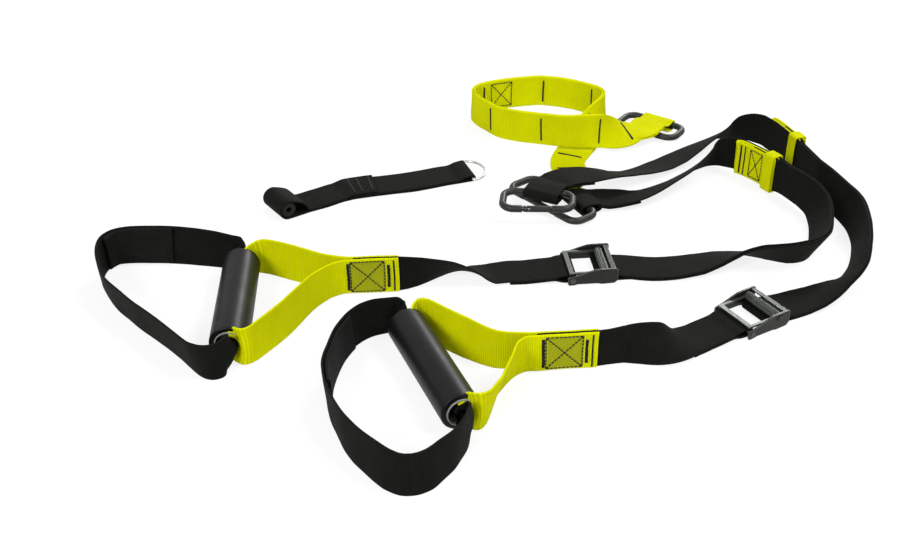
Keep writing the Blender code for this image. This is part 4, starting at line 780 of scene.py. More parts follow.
class Graph:
    """A node material, with its sums written as calls."""

    def __init__(self, name, roughness, metallic=0.0, specular=0.5):
        self.material = bpy.data.materials.new(name)
        self.material.use_nodes = True
        self.tree = self.material.node_tree
        self.shader = self.tree.nodes["Principled BSDF"]
        self.shader.inputs["Roughness"].default_value = roughness
        self.shader.inputs["Metallic"].default_value = metallic
        self.shader.inputs["Specular IOR Level"].default_value = specular

    def node(self, kind, **settings):
        made = self.tree.nodes.new(kind)
        for key, value in settings.items():
            setattr(made, key, value)
        return made

    def wire(self, value, socket):
        if isinstance(value, bpy.types.NodeSocket):
            self.tree.links.new(value, socket)
        else:
            socket.default_value = value

    def sum(self, operation, a, b=0.0, clamp=False):
        made = self.node("ShaderNodeMath", operation=operation, use_clamp=clamp)
        self.wire(a, made.inputs[0])
        self.wire(b, made.inputs[1])
        return made.outputs[0]

    def mix(self, factor, low, high):
        made = self.node("ShaderNodeMix", data_type="RGBA")
        self.wire(factor, made.inputs[0])
        self.wire(low if isinstance(low, bpy.types.NodeSocket) else (*low, 1), made.inputs[6])
        self.wire(high if isinstance(high, bpy.types.NodeSocket) else (*high, 1), made.inputs[7])
        return made.outputs[2]

    def scaled(self, factor, low, high):
        """A value from low to high as factor goes from 0 to 1."""
        made = self.node("ShaderNodeMapRange")
        self.wire(factor, made.inputs[0])
        made.inputs[3].default_value = low
        made.inputs[4].default_value = high
        return made.outputs[0]

    def wave(self, phase):
        """A sine from 0 to 1."""
        made = self.scaled(self.sum("SINE", phase), 0.0, 1.0)
        made.node.inputs[1].default_value = -1.0
        return made

    def tinted(self, factor, colour, low, high):
        """A colour made darker and lighter by two shares of it."""
        return self.mix(factor, tuple(low * c for c in colour), tuple(min(1.0, high * c) for c in colour))

    def finish(self, colour, normal, **others):
        """The material, with the shader's inputs wired."""
        for name, value in {"Base Color": colour, "Normal": normal, **others}.items():
            self.wire(value, self.shader.inputs[name])
        return self.material

    def noise(self, scale, detail=3.0, vector=None):
        made = self.node("ShaderNodeTexNoise")
        made.inputs["Scale"].default_value = scale
        made.inputs["Detail"].default_value = detail
        if vector is None:
            vector = self.node("ShaderNodeNewGeometry").outputs["Position"]
        self.wire(vector, made.inputs["Vector"])
        return made.outputs[0]

    def stretched(self, vector, scale):
        made = self.node("ShaderNodeMapping")
        self.wire(vector, made.inputs[0])
        made.inputs["Scale"].default_value = scale
        return made.outputs[0]

    def bump(self, height, strength, distance, base=None):
        made = self.node("ShaderNodeBump")
        made.inputs["Strength"].default_value = strength
        made.inputs["Distance"].default_value = distance
        self.wire(height, made.inputs["Height"])
        if base is not None:
            self.wire(base, made.inputs["Normal"])
        return made.outputs[0]

    def edges(self, radius):
        """1 on sharp edges and 0 on flats."""
        bevel = self.node("ShaderNodeBevel", samples=6)
        bevel.inputs[0].default_value = radius
        plain = self.node("ShaderNodeNewGeometry").outputs["Normal"]
        turn = self.node("ShaderNodeVectorMath", operation="DOT_PRODUCT")
        self.wire(bevel.outputs[0], turn.inputs[0])
        self.wire(plain, turn.inputs[1])
        return self.sum("SUBTRACT", 1.0, turn.outputs["Value"])


WEAVE_MAP = "weave"
# Painted shade on the handle straps' stitched boxes: the mesh attribute that marks them, and their darker
# tone
PRESSED_SHADE_MAP = "pressed_shade"
PRESSED_SHADE_TONE = (0.27, 0.29, 0.012)

# Dark and light tone of each look, and for webbing the tone where it is worn
BLACK_TONES = ((0.0022, 0.0023, 0.0018), (0.0085, 0.0088, 0.0068), (0.026, 0.026, 0.021))
YELLOW_TONES = ((0.46, 0.485, 0.0), (0.80, 0.83, 0.0), (0.82, 0.83, 0.0))
LINING_TONES = ((0.0024, 0.0025, 0.0022), (0.0096, 0.0098, 0.0086), (0.030, 0.030, 0.027))
FOAM_TONES = ((0.0030, 0.0034, 0.0028), (0.0105, 0.0120, 0.0098))
LINER_TONES = ((0.23, 0.23, 0.22), (0.34, 0.34, 0.33))

# Pitches of ribs and yarns and width of the edge, in metres
RIB_PITCH = 0.0019
YARN_PITCH = 0.0011
SELVEDGE = 0.0012

# Strengths of the weave's parts
RIB_WANDER = 0.9
YARN_WANDER = 1.2
RIB_SHARE = 0.62
YARN_SHARE = 0.26
FUZZ_SHARE = 0.18
SELVEDGE_SHARE = 0.25
WEAVE_SHADE = 0.75
SCUFF_SHARE = 0.3

# Depths of the bumps, in metres
WEAVE_BUMP = 0.00045
PORE_BUMP = 0.00025
SWELL_BUMP = 0.0009
COATING_BUMP = 0.0003
LINE_BUMP = 0.0002

# Wear of coated metal, and the scale of plated metal's lines along each axis
EDGE_RADIUS = 0.0007
EDGE_GAIN = 7.0
SPECK_FROM = 0.74
PLATE_GRAIN = (1.0, 1.0, 14.0)

# Scales of the noises, in cells per metre
WANDER_NOISE = 90.0
FUZZ_NOISE = 2600.0
PATCH_NOISE = 55.0
SCUFF_NOISE = 240.0
PORE_NOISE = 1500.0
RUBBED_NOISE = 42.0
SWELL_NOISE = 60.0
WEAR_NOISE = 420.0
SPECK_NOISE = 900.0
DUST_NOISE = 130.0
GLOSS_NOISE = 300.0
PEEL_NOISE = 700.0
LINE_NOISE = 260.0
DULL_NOISE = 180.0
PLASTIC_NOISE = 220.0
GRAIN_NOISE = 500.0
TWIST_NOISE = 1900.0


def webbing_look(name, tones, rib_depth, specular, blot):
    """Woven webbing: ribs across it, yarns along it, a tighter selvedge, painted shade in the hollows of the
    weave, and faint wear on the ribs.
    """
    dark, light, worn = tones
    g = Graph(name, 0.80, specular=specular)
    uv = g.node("ShaderNodeUVMap", uv_map=WEAVE_MAP).outputs[0]
    split = g.node("ShaderNodeSeparateXYZ")
    g.wire(uv, split.inputs[0])
    across, along = split.outputs[0], split.outputs[1]
    wander = g.sum("MULTIPLY", g.sum("SUBTRACT", g.noise(WANDER_NOISE), 0.5), RIB_WANDER)
    rib_turn = g.sum("ADD", g.sum("MULTIPLY", along, 2 * math.pi / RIB_PITCH), wander)
    half_turn = g.sum("MULTIPLY", g.sum("SINE", g.sum("MULTIPLY", rib_turn, 0.5)), YARN_WANDER)
    rib = g.wave(rib_turn)
    yarn = g.wave(g.sum("ADD", g.sum("MULTIPLY", across, 2 * math.pi / YARN_PITCH), half_turn))
    height = g.sum("ADD", g.sum("MULTIPLY", rib, RIB_SHARE), g.sum("MULTIPLY", yarn, YARN_SHARE))
    height = g.sum("ADD", height, g.sum("MULTIPLY", g.noise(FUZZ_NOISE, 2.0), FUZZ_SHARE))
    edge = g.sum("GREATER_THAN", g.sum("ABSOLUTE", across), WEBBING_WIDTH / 2 - SELVEDGE)
    height = g.sum("ADD", height, g.sum("MULTIPLY", edge, SELVEDGE_SHARE))
    uneven = g.sum("MULTIPLY", g.sum("SUBTRACT", g.noise(PATCH_NOISE, 4.0), 0.5), blot)
    # The weave's height sets its colour too: painted shade in the hollows between ribs and yarns, lighter on
    # their tops and on the raised selvedge, plus random patches
    shade = g.sum("ADD", g.sum("MULTIPLY", height, WEAVE_SHADE), uneven, clamp=True)
    rubbing = g.scaled(g.noise(SCUFF_NOISE, 5.0), -1.1, 1.2)
    scuff = g.sum("MULTIPLY", rubbing, g.sum("MULTIPLY", height, SCUFF_SHARE), clamp=True)
    # Painted shade on the stitched boxes, where the mesh attribute marks them
    pressed_shade = g.node("ShaderNodeAttribute", attribute_name=PRESSED_SHADE_MAP).outputs["Fac"]
    colour = g.mix(pressed_shade, g.mix(scuff, g.mix(shade, dark, light), worn), PRESSED_SHADE_TONE)
    return g.finish(colour, g.bump(height, rib_depth, WEAVE_BUMP))


def foam_look():
    """Moulded foam skin with fine pores and rubbed patches."""
    g = Graph("foam_grip", 0.42, specular=0.16)
    pores = g.noise(PORE_NOISE)
    rubbed = g.scaled(g.noise(RUBBED_NOISE, 4.0), -0.6, 1.4)
    colour = g.mix(g.sum("MULTIPLY", rubbed, pores, clamp=True), *FOAM_TONES)
    swell = g.bump(g.noise(SWELL_NOISE, 2.0), 0.25, SWELL_BUMP)
    return g.finish(colour, g.bump(pores, 0.30, PORE_BUMP, swell), Roughness=g.scaled(rubbed, 0.45, 0.35))


def coated_look(name, colour, bare, wear):
    """Satin coating on steel, with an orange-peel surface and bright metal where the edges have rubbed."""
    g = Graph(name, 0.40, specular=0.28)
    rub = g.sum("MULTIPLY", g.edges(EDGE_RADIUS), EDGE_GAIN)
    rub = g.sum("MULTIPLY", rub, g.scaled(g.noise(WEAR_NOISE, 5.0), 0.2, 1.6))
    rub = g.sum("SUBTRACT", rub, 1.0 - wear, clamp=True)
    speck = g.sum("GREATER_THAN", g.noise(SPECK_NOISE, 4.0), SPECK_FROM)
    rub = g.sum("MAXIMUM", rub, g.sum("MULTIPLY", speck, 0.35 * wear))
    dusty = g.tinted(g.noise(DUST_NOISE, 4.0), colour, 0.75, 1.35)
    peel = g.bump(g.noise(PEEL_NOISE, 2.0), 0.08, COATING_BUMP)
    return g.finish(g.mix(rub, dusty, bare), peel, Metallic=g.sum("MULTIPLY", rub, 0.85),
                    Roughness=g.scaled(g.noise(GLOSS_NOISE), 0.34, 0.52))


def plated_look(name, colour, roughness):
    """Plated steel with drawn lines and dull patches that make it darker and lighter."""
    g = Graph(name, roughness, metallic=1.0)
    place_of = g.node("ShaderNodeNewGeometry").outputs["Position"]
    lines = g.noise(LINE_NOISE, 4.0, g.stretched(place_of, PLATE_GRAIN))
    patches = g.noise(DULL_NOISE, 4.0)
    both = g.sum("ADD", g.sum("MULTIPLY", lines, 0.5), g.sum("MULTIPLY", patches, 0.5))
    return g.finish(g.tinted(both, colour, 0.6, 1.25), g.bump(lines, 0.10, LINE_BUMP),
                    Roughness=g.scaled(patches, roughness - 0.10, roughness + 0.16))


def plastic_look():
    """Light grey moulded plastic."""
    g = Graph("liner_plastic", 0.48, specular=0.45)
    tone = g.noise(PLASTIC_NOISE, 4.0)
    return g.finish(g.mix(tone, *LINER_TONES), g.bump(g.noise(GRAIN_NOISE, 2.0), 0.10, COATING_BUMP),
                    Roughness=g.scaled(tone, 0.40, 0.58))


def thread_look(name, colour):
    """Twisted polyester thread."""
    g = Graph(name, 0.65, specular=0.15)
    twist = g.noise(TWIST_NOISE, 2.0)
    return g.finish(g.tinted(twist, colour, 0.6, 1.7), g.bump(twist, 0.4, LINE_BUMP))


LOOKS = {
    "black": webbing_look("black_webbing", BLACK_TONES, 0.40, 0.08, 0.7),
    "yellow": webbing_look("yellow_webbing", YELLOW_TONES, 0.50, 0.03, 0.40),
    "lining": webbing_look("lining_webbing", LINING_TONES, 0.7, 0.10, 0.9),
    "foam": foam_look(),
    "plastic": plastic_look(),
    "frame": coated_look("buckle_coating", (0.0085, 0.0088, 0.0074), (0.34, 0.36, 0.31), 0.62),
    "rings": coated_look("carabiner_coating", (0.0125, 0.0148, 0.0120), (0.24, 0.27, 0.23), 0.34),
    "zinc": plated_look("zinc_plate", (0.30, 0.31, 0.28), 0.38),
    "cam": plated_look("cam_plate", (0.086, 0.096, 0.083), 0.42),
    "bright": plated_look("bright_wire", (0.62, 0.62, 0.58), 0.25),
    "navy_thread": thread_look("navy_thread", (0.005, 0.006, 0.012)),
    "black_thread": thread_look("black_thread", (0.012, 0.012, 0.012)),
}


# Pieces

def show(obj, node, look, suffix="", stands=True):
    """Put a finished piece in the scene, riding with its node's body and standing for the node."""
    obj.name = node + "_look" + suffix
    link(obj)
    obj.data.materials.clear()
    obj.data.materials.append(LOOKS[look])
    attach(obj, BODY_OF[node])
    if stands:
        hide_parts(node)
    return obj


def settled(obj, matrix):
    """The object's mesh with its modifiers worked in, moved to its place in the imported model."""
    link(obj)
    graph = bpy.context.evaluated_depsgraph_get()
    mesh = bpy.data.meshes.new_from_object(obj.evaluated_get(graph))
    name = obj.name
    bpy.data.objects.remove(obj, do_unlink=True)
    mesh.transform(ORIGIN @ matrix)
    mesh.shade_smooth()
    mesh.set_sharp_from_angle(angle=math.radians(METAL_SHARP_DEG))
    return bpy.data.objects.new(name, mesh)


# Webbing: rows, drift, easing at a grip's mouths, and painted shade on the box sewn by its stitches
FINE_STEP = 0.0030
DRIFT = 0.0008
DRIFT_SPACING = 0.028
FIRM_REACH = 0.035
EASE_REACH = 0.030
EASE_FADE = 0.004
EASE_TURNS = 120
# Painted shade on the stitched boxes: margin left unshaded at each edge, and the share of the darker tone
PRESSED_SHADE_RIM = 0.0030
PRESSED_SHADE_SHARE = 0.80
BOX_START = 0.0135
BOX_END = 0.0455
BOX_HALF = 0.0162
METAL_SHARP_DEG = 40
WEBBING_SHARP_DEG = 70
EDGE_STEPS = ((0.0, 0.30), (0.25, 0.72), (0.7, 0.93), (1.4, 1.0))
DRIFT_SEED = 3
noise.seed_set(DRIFT_SEED)


def refined(rows, closed=False):
    """The same strap with rows every few millimetres."""
    count = len(rows)
    spans = count if closed else count - 1
    fine = []
    for i in range(spans):
        if closed:
            a, b, c, d = (rows[(i + k) % count] for k in (-1, 0, 1, 2))
        else:
            a, b, c, d = (rows[min(max(i + k, 0), count - 1)] for k in (-1, 0, 1, 2))
        span = (c.point - b.point).length
        if span == 0:
            continue
        into = c.point - a.point
        out = d.point - b.point
        into = into.normalized() * span if into.length > 0 else into
        out = out.normalized() * span if out.length > 0 else out
        turn = math.degrees(into.angle(out, 0))
        parts = max(1, math.ceil(span / FINE_STEP), min(4, math.ceil(turn / 9)))
        for k in range(parts):
            t = k / parts
            point = ((2 * t ** 3 - 3 * t ** 2 + 1) * b.point + (t ** 3 - 2 * t ** 2 + t) * into
                     + (3 * t ** 2 - 2 * t ** 3) * c.point + (t ** 3 - t ** 2) * out)
            curl = b.curl + (c.curl - b.curl) * t * t * (3 - 2 * t)
            fine.append(Station(point, b.across.lerp(c.across, t), curl))
    if not closed:
        last = rows[-1]
        fine.append(Station(last.point, last.across, last.curl))
    return squared(fine, closed)


def cross_steps(width, thickness, parts):
    """Distances from the middle across the strap, each with the share of the thickness that it has."""
    half, round_off = width / 2, thickness / 2
    edge = [(step * round_off - half, share) for step, share in EDGE_STEPS]
    inner = half - EDGE_STEPS[-1][0] * round_off
    middle = [(inner * (2 * k / parts - 1), 1.0) for k in range(1, parts)]
    return edge + middle + [(-u, share) for u, share in reversed(edge)]


def spot_on(row, travel, u):
    """The point and outward direction at a distance u from a row's middle."""
    across = row.across
    face = travel.cross(across).normalized()
    turn = row.curl * u
    if abs(turn) < 1e-6:
        return row.point + across * u, face
    spot = row.point + across * (math.sin(turn) / row.curl) + face * ((1 - math.cos(turn)) / row.curl)
    return spot, face * math.cos(turn) - across * math.sin(turn)


def drifted(point):
    """A point with the slight, smooth unevenness that laid-out webbing has, fading out near hardware."""
    away = min((point - seat.translation).length for seat in FIRM_SEATS)
    free = min(max((away - FIRM_REACH) / FIRM_REACH, 0.0), 1.0)
    drift = noise.noise_vector(point / DRIFT_SPACING)
    return Vector((drift.x, drift.y, 0)) * DRIFT * free


def eased(grid, seat):
    """The grid with its creases beside a grip's mouths rounded off."""
    half = GRIP_LENGTH / 2 + TUBE_PROUD
    local = np.array([[tuple(seat.inverted() @ Vector(spot)) for spot in row] for row in grid])
    beyond = np.abs(local[..., 0]) - half
    aside = np.hypot(local[..., 1], local[..., 2])
    near = np.clip((EASE_REACH - np.hypot(beyond, aside)) / EASE_FADE, 0, 1)
    share = (np.clip(beyond / EASE_FADE, 0, 1) * near)[..., None] * 0.5
    floor_at = FLOOR_GAP + WEBBING_THICKNESS / 2
    for _ in range(EASE_TURNS):
        middle = grid.copy()
        middle[1:-1] = (grid[:-2] + grid[2:]) / 2
        grid = grid + (middle - grid) * share
    grid[..., 2] = np.maximum(grid[..., 2], floor_at)
    return grid


def ribbon(name, rows, look, closed=False, parts=1, width=WEBBING_WIDTH, thickness=WEBBING_THICKNESS):
    """Webbing with rounded edges, and a map of its weave in metres along and across it."""
    rows = refined(rows, closed)
    PLY_ROWS[name] = rows
    steps = cross_steps(width, thickness, 16 if parts > 1 else 8)
    count, wide = len(rows), len(steps)
    grid = np.zeros((count, wide, 3))
    along, walked = [], 0.0
    for i, row in enumerate(rows):
        travel = travel_at(rows, i, closed)
        if i:
            walked += (row.point - rows[i - 1].point).length
        along.append(walked)
        for k, (u, _) in enumerate(steps):
            spot, _ = spot_on(row, travel, u)
            grid[i, k] = spot + drifted(spot)
    end = walked + (rows[0].point - rows[-1].point).length
    if name.startswith("handle_strap"):
        grid = eased(grid, grip_l if name.endswith("l") else grip_r)
    if closed:
        run = np.roll(grid, -1, axis=0) - np.roll(grid, 1, axis=0)
    else:
        run = np.gradient(grid, axis=0)
    out = np.cross(run, np.gradient(grid, axis=1))
    out /= np.maximum(np.linalg.norm(out, axis=2, keepdims=True), 1e-9)
    half = np.array([share for _, share in steps])[None, :, None] * thickness / 2
    points = np.stack((grid + out * half, grid - out * half), axis=2).reshape(-1, 3)
    points[:, 2] = np.maximum(points[:, 2], FLOOR_GAP / 2)
    faces, maps = [], []

    def add(corners, marks):
        faces.append(corners)
        maps.extend(marks)

    for i in range(count if closed else count - 1):
        j = (i + 1) % count
        near, far = along[i], along[j] if j else end
        here, there = i * wide * 2, j * wide * 2
        for k in range(wide - 1):
            a, b = here + 2 * k, there + 2 * k
            u, v = steps[k][0], steps[k + 1][0]
            add((a, a + 2, b + 2, b), ((u, near), (v, near), (v, far), (u, far)))
            add((a + 1, b + 1, b + 3, a + 3), ((u, near), (u, far), (v, far), (v, near)))
        for k, flip in ((0, 1), (wide - 1, 0)):
            a, b = here + 2 * k, there + 2 * k
            u = steps[k][0]
            if flip:
                add((a, b, b + 1, a + 1), ((u, near), (u, far), (u, far), (u, near)))
            else:
                add((a, a + 1, b + 1, b), ((u, near), (u, near), (u, far), (u, far)))
    if not closed:
        for i, flip in ((0, 0), (count - 1, 1)):
            here = i * wide * 2
            for k in range(wide - 1):
                a = here + 2 * k
                ring = (a, a + 2, a + 3, a + 1) if flip else (a, a + 1, a + 3, a + 2)
                add(ring, ((steps[k][0], along[i]),) * 4)
    mesh = bpy.data.meshes.new(name)
    mesh.from_pydata([tuple(p) for p in points], [], faces)
    weave = mesh.uv_layers.new(name=WEAVE_MAP)
    for corner, mark in zip(weave.data, maps):
        corner.uv = mark
    # Painted shade: the stitched boxes of the handle straps are marked for the darker tone
    pressed_shade = mesh.attributes.new(PRESSED_SHADE_MAP, "FLOAT", "POINT")
    for i, at in enumerate(along):
        if name.startswith("handle_strap") and BOX_START < min(at, walked - at) < BOX_END:
            for k, (u, _) in enumerate(steps):
                if abs(u) < width / 2 - PRESSED_SHADE_RIM:
                    pressed_shade.data[(i * wide + k) * 2].value = PRESSED_SHADE_SHARE
                    pressed_shade.data[(i * wide + k) * 2 + 1].value = PRESSED_SHADE_SHARE
    mesh.transform(ORIGIN)
    mesh.shade_smooth()
    mesh.set_sharp_from_angle(angle=math.radians(WEBBING_SHARP_DEG))
    obj = bpy.data.objects.new(name, mesh)
    show(obj, name, look)


def turned_piece(node, outline, matrix, look, sides=72):
    """A finely turned piece in place of a node."""
    obj = turned(node, outline, sides)
    return show(settled(obj, matrix), node, look)


# Stitching tools

THREAD = 0.00112
STITCH = 0.0034
STITCH_GAP = 0.0002
BAR_PITCH = 0.00052
BAR_JITTER_SHARE = 0.08
BAR_THREAD_SHARE = 0.56
SEWN_PROBE = 0.010

# One stitch: rings of corners by share of its length, rise and size
STITCH_RINGS = ((0.0, -0.9, 0.5), (0.18, 0.35, 1.0), (0.82, 0.35, 1.0), (1.0, -0.9, 0.5))
STITCH_CORNERS = ((1, 0), (0.5, 0.87), (-0.5, 0.87), (-1, 0), (0, -0.9))

# Bar stitches: distance from the strap's end, height and width
HANDLE_BARS = ((BOX_END + 0.0022, 0.0290, 0.0030), (BOX_START - 0.0038, 0.0240, 0.0030),
               (0.0046, 0.0330, 0.0013))
TAB_BARS = ((0.0070, 0.0320, 0.0022), (0.0125, 0.0330, 0.0010))
TAB_BOX = (0.0180, 0.0345)
TAB_BOX_HALF = 0.0155
LOOP_BARS = tuple((reach, 0.0300, 0.0024) for reach in (0.004, 0.012, 0.020))
DOOR_BARS = tuple((reach, 0.0300, 0.0024) for reach in (0.004, 0.013, 0.025))
ANCHOR_BAR_SHARES = (0.045, 0.098, 0.215, 0.328, 0.435, 0.567, 0.692, 0.807, 0.920, 0.985)
ANCHOR_BAR_HEIGHT = 0.0270
ANCHOR_BAR_WIDTH = 0.0020
ANCHOR_BOX_SHARES = (0.504, 0.549)
ANCHOR_BOX_HALF = 0.0150


class Threads:
    """Short lengths of thread, gathered into one mesh."""

    def __init__(self):
        self.points, self.faces = [], []

    def add(self, start, end, normal, radius=THREAD / 2):
        """One stitch between two points, its ends dipping into the cloth."""
        run = end - start
        side = run.cross(normal).normalized() * radius
        up = normal.normalized() * radius
        base = len(self.points)
        for share, rise, size in STITCH_RINGS:
            middle = start + run * share + up * rise
            for c, s in STITCH_CORNERS:
                self.points.append(middle + side * c * size + up * s * size)
        for ring in range(3):
            for k in range(5):
                a, b = base + ring * 5 + k, base + ring * 5 + (k + 1) % 5
                self.faces.append((a, b, b + 5, a + 5))
        self.faces.append(tuple(base + k for k in (4, 3, 2, 1, 0)))
        self.faces.append(tuple(base + 15 + k for k in range(5)))

    def show(self, name, node, look):
        mesh = bpy.data.meshes.new(name)
        mesh.from_pydata(self.points, [], self.faces)
        mesh.transform(ORIGIN)
        mesh.shade_smooth()
        obj = bpy.data.objects.new(name, mesh)
        show(obj, node, look, suffix="_stitching", stands=False)


class Face:
    """One face of a strap, as distances along and across it."""

    def __init__(self, rows, side, lift=0.0):
        self.rows, self.side, self.lift = rows, side, lift + WEBBING_THICKNESS / 2
        self.marks = [0.0]
        for a, b in zip(rows, rows[1:]):
            self.marks.append(self.marks[-1] + (b.point - a.point).length)
        self.length = self.marks[-1]

    def at(self, along, across):
        along = min(max(along, 0.0), self.length)
        i = max(0, min(len(self.rows) - 2, int(np.searchsorted(self.marks, along)) - 1))
        span = self.marks[i + 1] - self.marks[i]
        share = (along - self.marks[i]) / span if span > 0 else 0
        row = between(self.rows[i], self.rows[i + 1], share)
        travel = (self.rows[i + 1].point - self.rows[i].point).normalized()
        spot, outward = spot_on(Station(row.point, row.across, 0.0), travel, across)
        outward = outward * self.side
        return spot + drifted(spot) + outward * self.lift, outward


def seam(threads, face, start, end):
    """A row of lock stitches between two (along, across) places."""
    (a0, c0), (a1, c1) = start, end
    reach = math.hypot(a1 - a0, c1 - c0)
    count = max(1, round(reach / (STITCH + STITCH_GAP)))
    for k in range(count):
        low, high = k / count, (k + 1) / count - STITCH_GAP / reach
        p, n = face.at(a0 + (a1 - a0) * low, c0 + (c1 - c0) * low)
        q, _ = face.at(a0 + (a1 - a0) * high, c0 + (c1 - c0) * high)
        threads.add(p, q, n)


def bartack(threads, face, along, height, width):
    """A dense zigzag bar across the strap."""
    count = int(height / BAR_PITCH)
    for k in range(count):
        across = height * ((k + 0.5) / count - 0.5)
        jitter = RANDOM.uniform(-1, 1) * width * BAR_JITTER_SHARE
        p, n = face.at(along - width / 2 + jitter, across - BAR_PITCH / 2)
        q, _ = face.at(along + width / 2 + jitter, across + BAR_PITCH / 2)
        threads.add(p, q, n, THREAD * BAR_THREAD_SHARE)


def box_x(threads, face, start, end, half):
    """A stitched rectangle with its two diagonals."""
    corners = ((start, -half), (end, -half), (end, half), (start, half))
    for i in range(4):
        seam(threads, face, corners[i], corners[(i + 1) % 4])
    seam(threads, face, corners[0], corners[2])
    seam(threads, face, corners[1], corners[3])


RANDOM = random.Random(7)
BLACK_WEBBING, YELLOW_WEBBING = "black", "yellow"


# Build: grips

RING_SEAT = FLOOR_GAP + WEBBING_THICKNESS + LOOP_CLEARANCE + ROD_DIAMETER / 2
UPPER_SEAT = RING_SEAT + ROD_DIAMETER + WEBBING_THICKNESS + 4 * LOOP_CLEARANCE
grip_l = GRIP_L_SEAT
grip_r = seat_at(GRIP_R_PLACE_SHARE, GRIP_R_YAW, FLOOR_GAP + FOAM_DIAMETER / 2)
buckle_l = seat_at(BUCKLE_L_PLACE_SHARE, BUCKLE_L_YAW, 0)
buckle_r = seat_at(BUCKLE_R_PLACE_SHARE, BUCKLE_R_YAW, 0)
carabiner_1 = seat_at(CARABINER_1_PLACE_SHARE, CARABINER_1_YAW, UPPER_SEAT)
carabiner_2 = seat_at(CARABINER_2_PLACE_SHARE, CARABINER_2_YAW, RING_SEAT)
carabiner_3 = seat_at(CARABINER_3_PLACE_SHARE, CARABINER_3_YAW, RING_SEAT)
FIRM_SEATS = [buckle_l, buckle_r, carabiner_1, carabiner_2, carabiner_3, grip_l, grip_r]
for seat in (grip_l, grip_r):
    FIRM_SEATS += [seat @ Matrix.Translation((sign * GRIP_LENGTH / 2, 0, 0)) for sign in (-1, 1)]
FIRM_SEATS.append(seat_at(RING_PLACE_SHARE, RING_YAW, RING_WIRE))
FIRM_SEATS.append(seat_at(ROLLER_PLACE_SHARE, ROLLER_YAW, ROLLER_DIAMETER / 2))

# Corners of turned pieces, ripples of the foam, and points in each turn of a coil
FOAM_END_CORNER = FOAM_CORNER * 1.6
TUBE_CORNER = 0.0004
RIPPLE_PARTS = 40
RIPPLE_DEPTH = 0.00004
RIPPLE_PHASE = 1.7
GATE_CORNER = 0.0009
GATE_PIN_CORNER = 0.0003
BAR_CORNER = 0.0005
COIL_POINTS = 24

# Soft edges: width, segments and least angle in degrees
RING_EDGE = (0.0006, 3, 50)
FRAME_EDGE = (0.00035, 2, 35)
CAM_EDGE = (0.00018, 2, 35)


def rounded(outline, corner, steps=4):
    """An (along, radius) outline with its outer corners rounded off."""
    points = []
    count = len(outline)
    for i, (along, radius, is_round) in enumerate(outline):
        if not is_round:
            points.append((along, radius))
            continue
        here = Vector((along, radius))
        into = (here - Vector(outline[i - 1][:2])).normalized()
        out = (Vector(outline[(i + 1) % count][:2]) - here).normalized()
        start, end = here - into * corner, here + out * corner
        for k in range(steps + 1):
            t = k / steps
            points.append(tuple((1 - t) ** 2 * start + 2 * t * (1 - t) * here + t * t * end))
    return points


def ends(low, high, inner, outer, inner_round):
    """Outline of a plain turned piece from one end to the other, round at its outer corners."""
    return (low, inner, inner_round), (low, outer, True), (high, outer, True), (high, inner, inner_round)


def bevelled(obj, width, segments, angle):
    """Soft edges where faces meet at more than an angle in degrees."""
    soft = obj.modifiers.new("soft edges", "BEVEL")
    soft.width = width
    soft.segments = segments
    soft.limit_method = "ANGLE"
    soft.angle_limit = math.radians(angle)


def hand_grip(side, seat):
    """The foam sleeve, faintly rippled, and the tube inside it."""
    half = GRIP_LENGTH / 2
    inner, outer = TUBE_DIAMETER / 2 + TUBE_FIT, FOAM_DIAMETER / 2
    outline = rounded(ends(-half, half, inner, outer, False), FOAM_END_CORNER)
    body = []
    for k, (along, radius) in enumerate(outline):
        body.append((along, radius))
        if k + 1 < len(outline) and outline[k + 1][0] - along > half:
            run = outline[k + 1][0] - along
            for t in range(1, RIPPLE_PARTS):
                dip = RIPPLE_DEPTH * (1 + math.sin(t * RIPPLE_PHASE)) * (t % 2)
                body.append((along + run * t / RIPPLE_PARTS, radius - dip))
    sleeve = turned_piece("foam_grip_" + side, body, seat, "foam")
    reach = half + TUBE_PROUD
    tube = rounded(ends(-reach, reach, TUBE_BORE / 2, TUBE_DIAMETER / 2, True), TUBE_CORNER, 3)
    turned_piece("grip_tube_" + side, tube, seat, "plastic")


hand_grip("l", grip_l)
hand_grip("r", grip_r)


# Build: carabiners

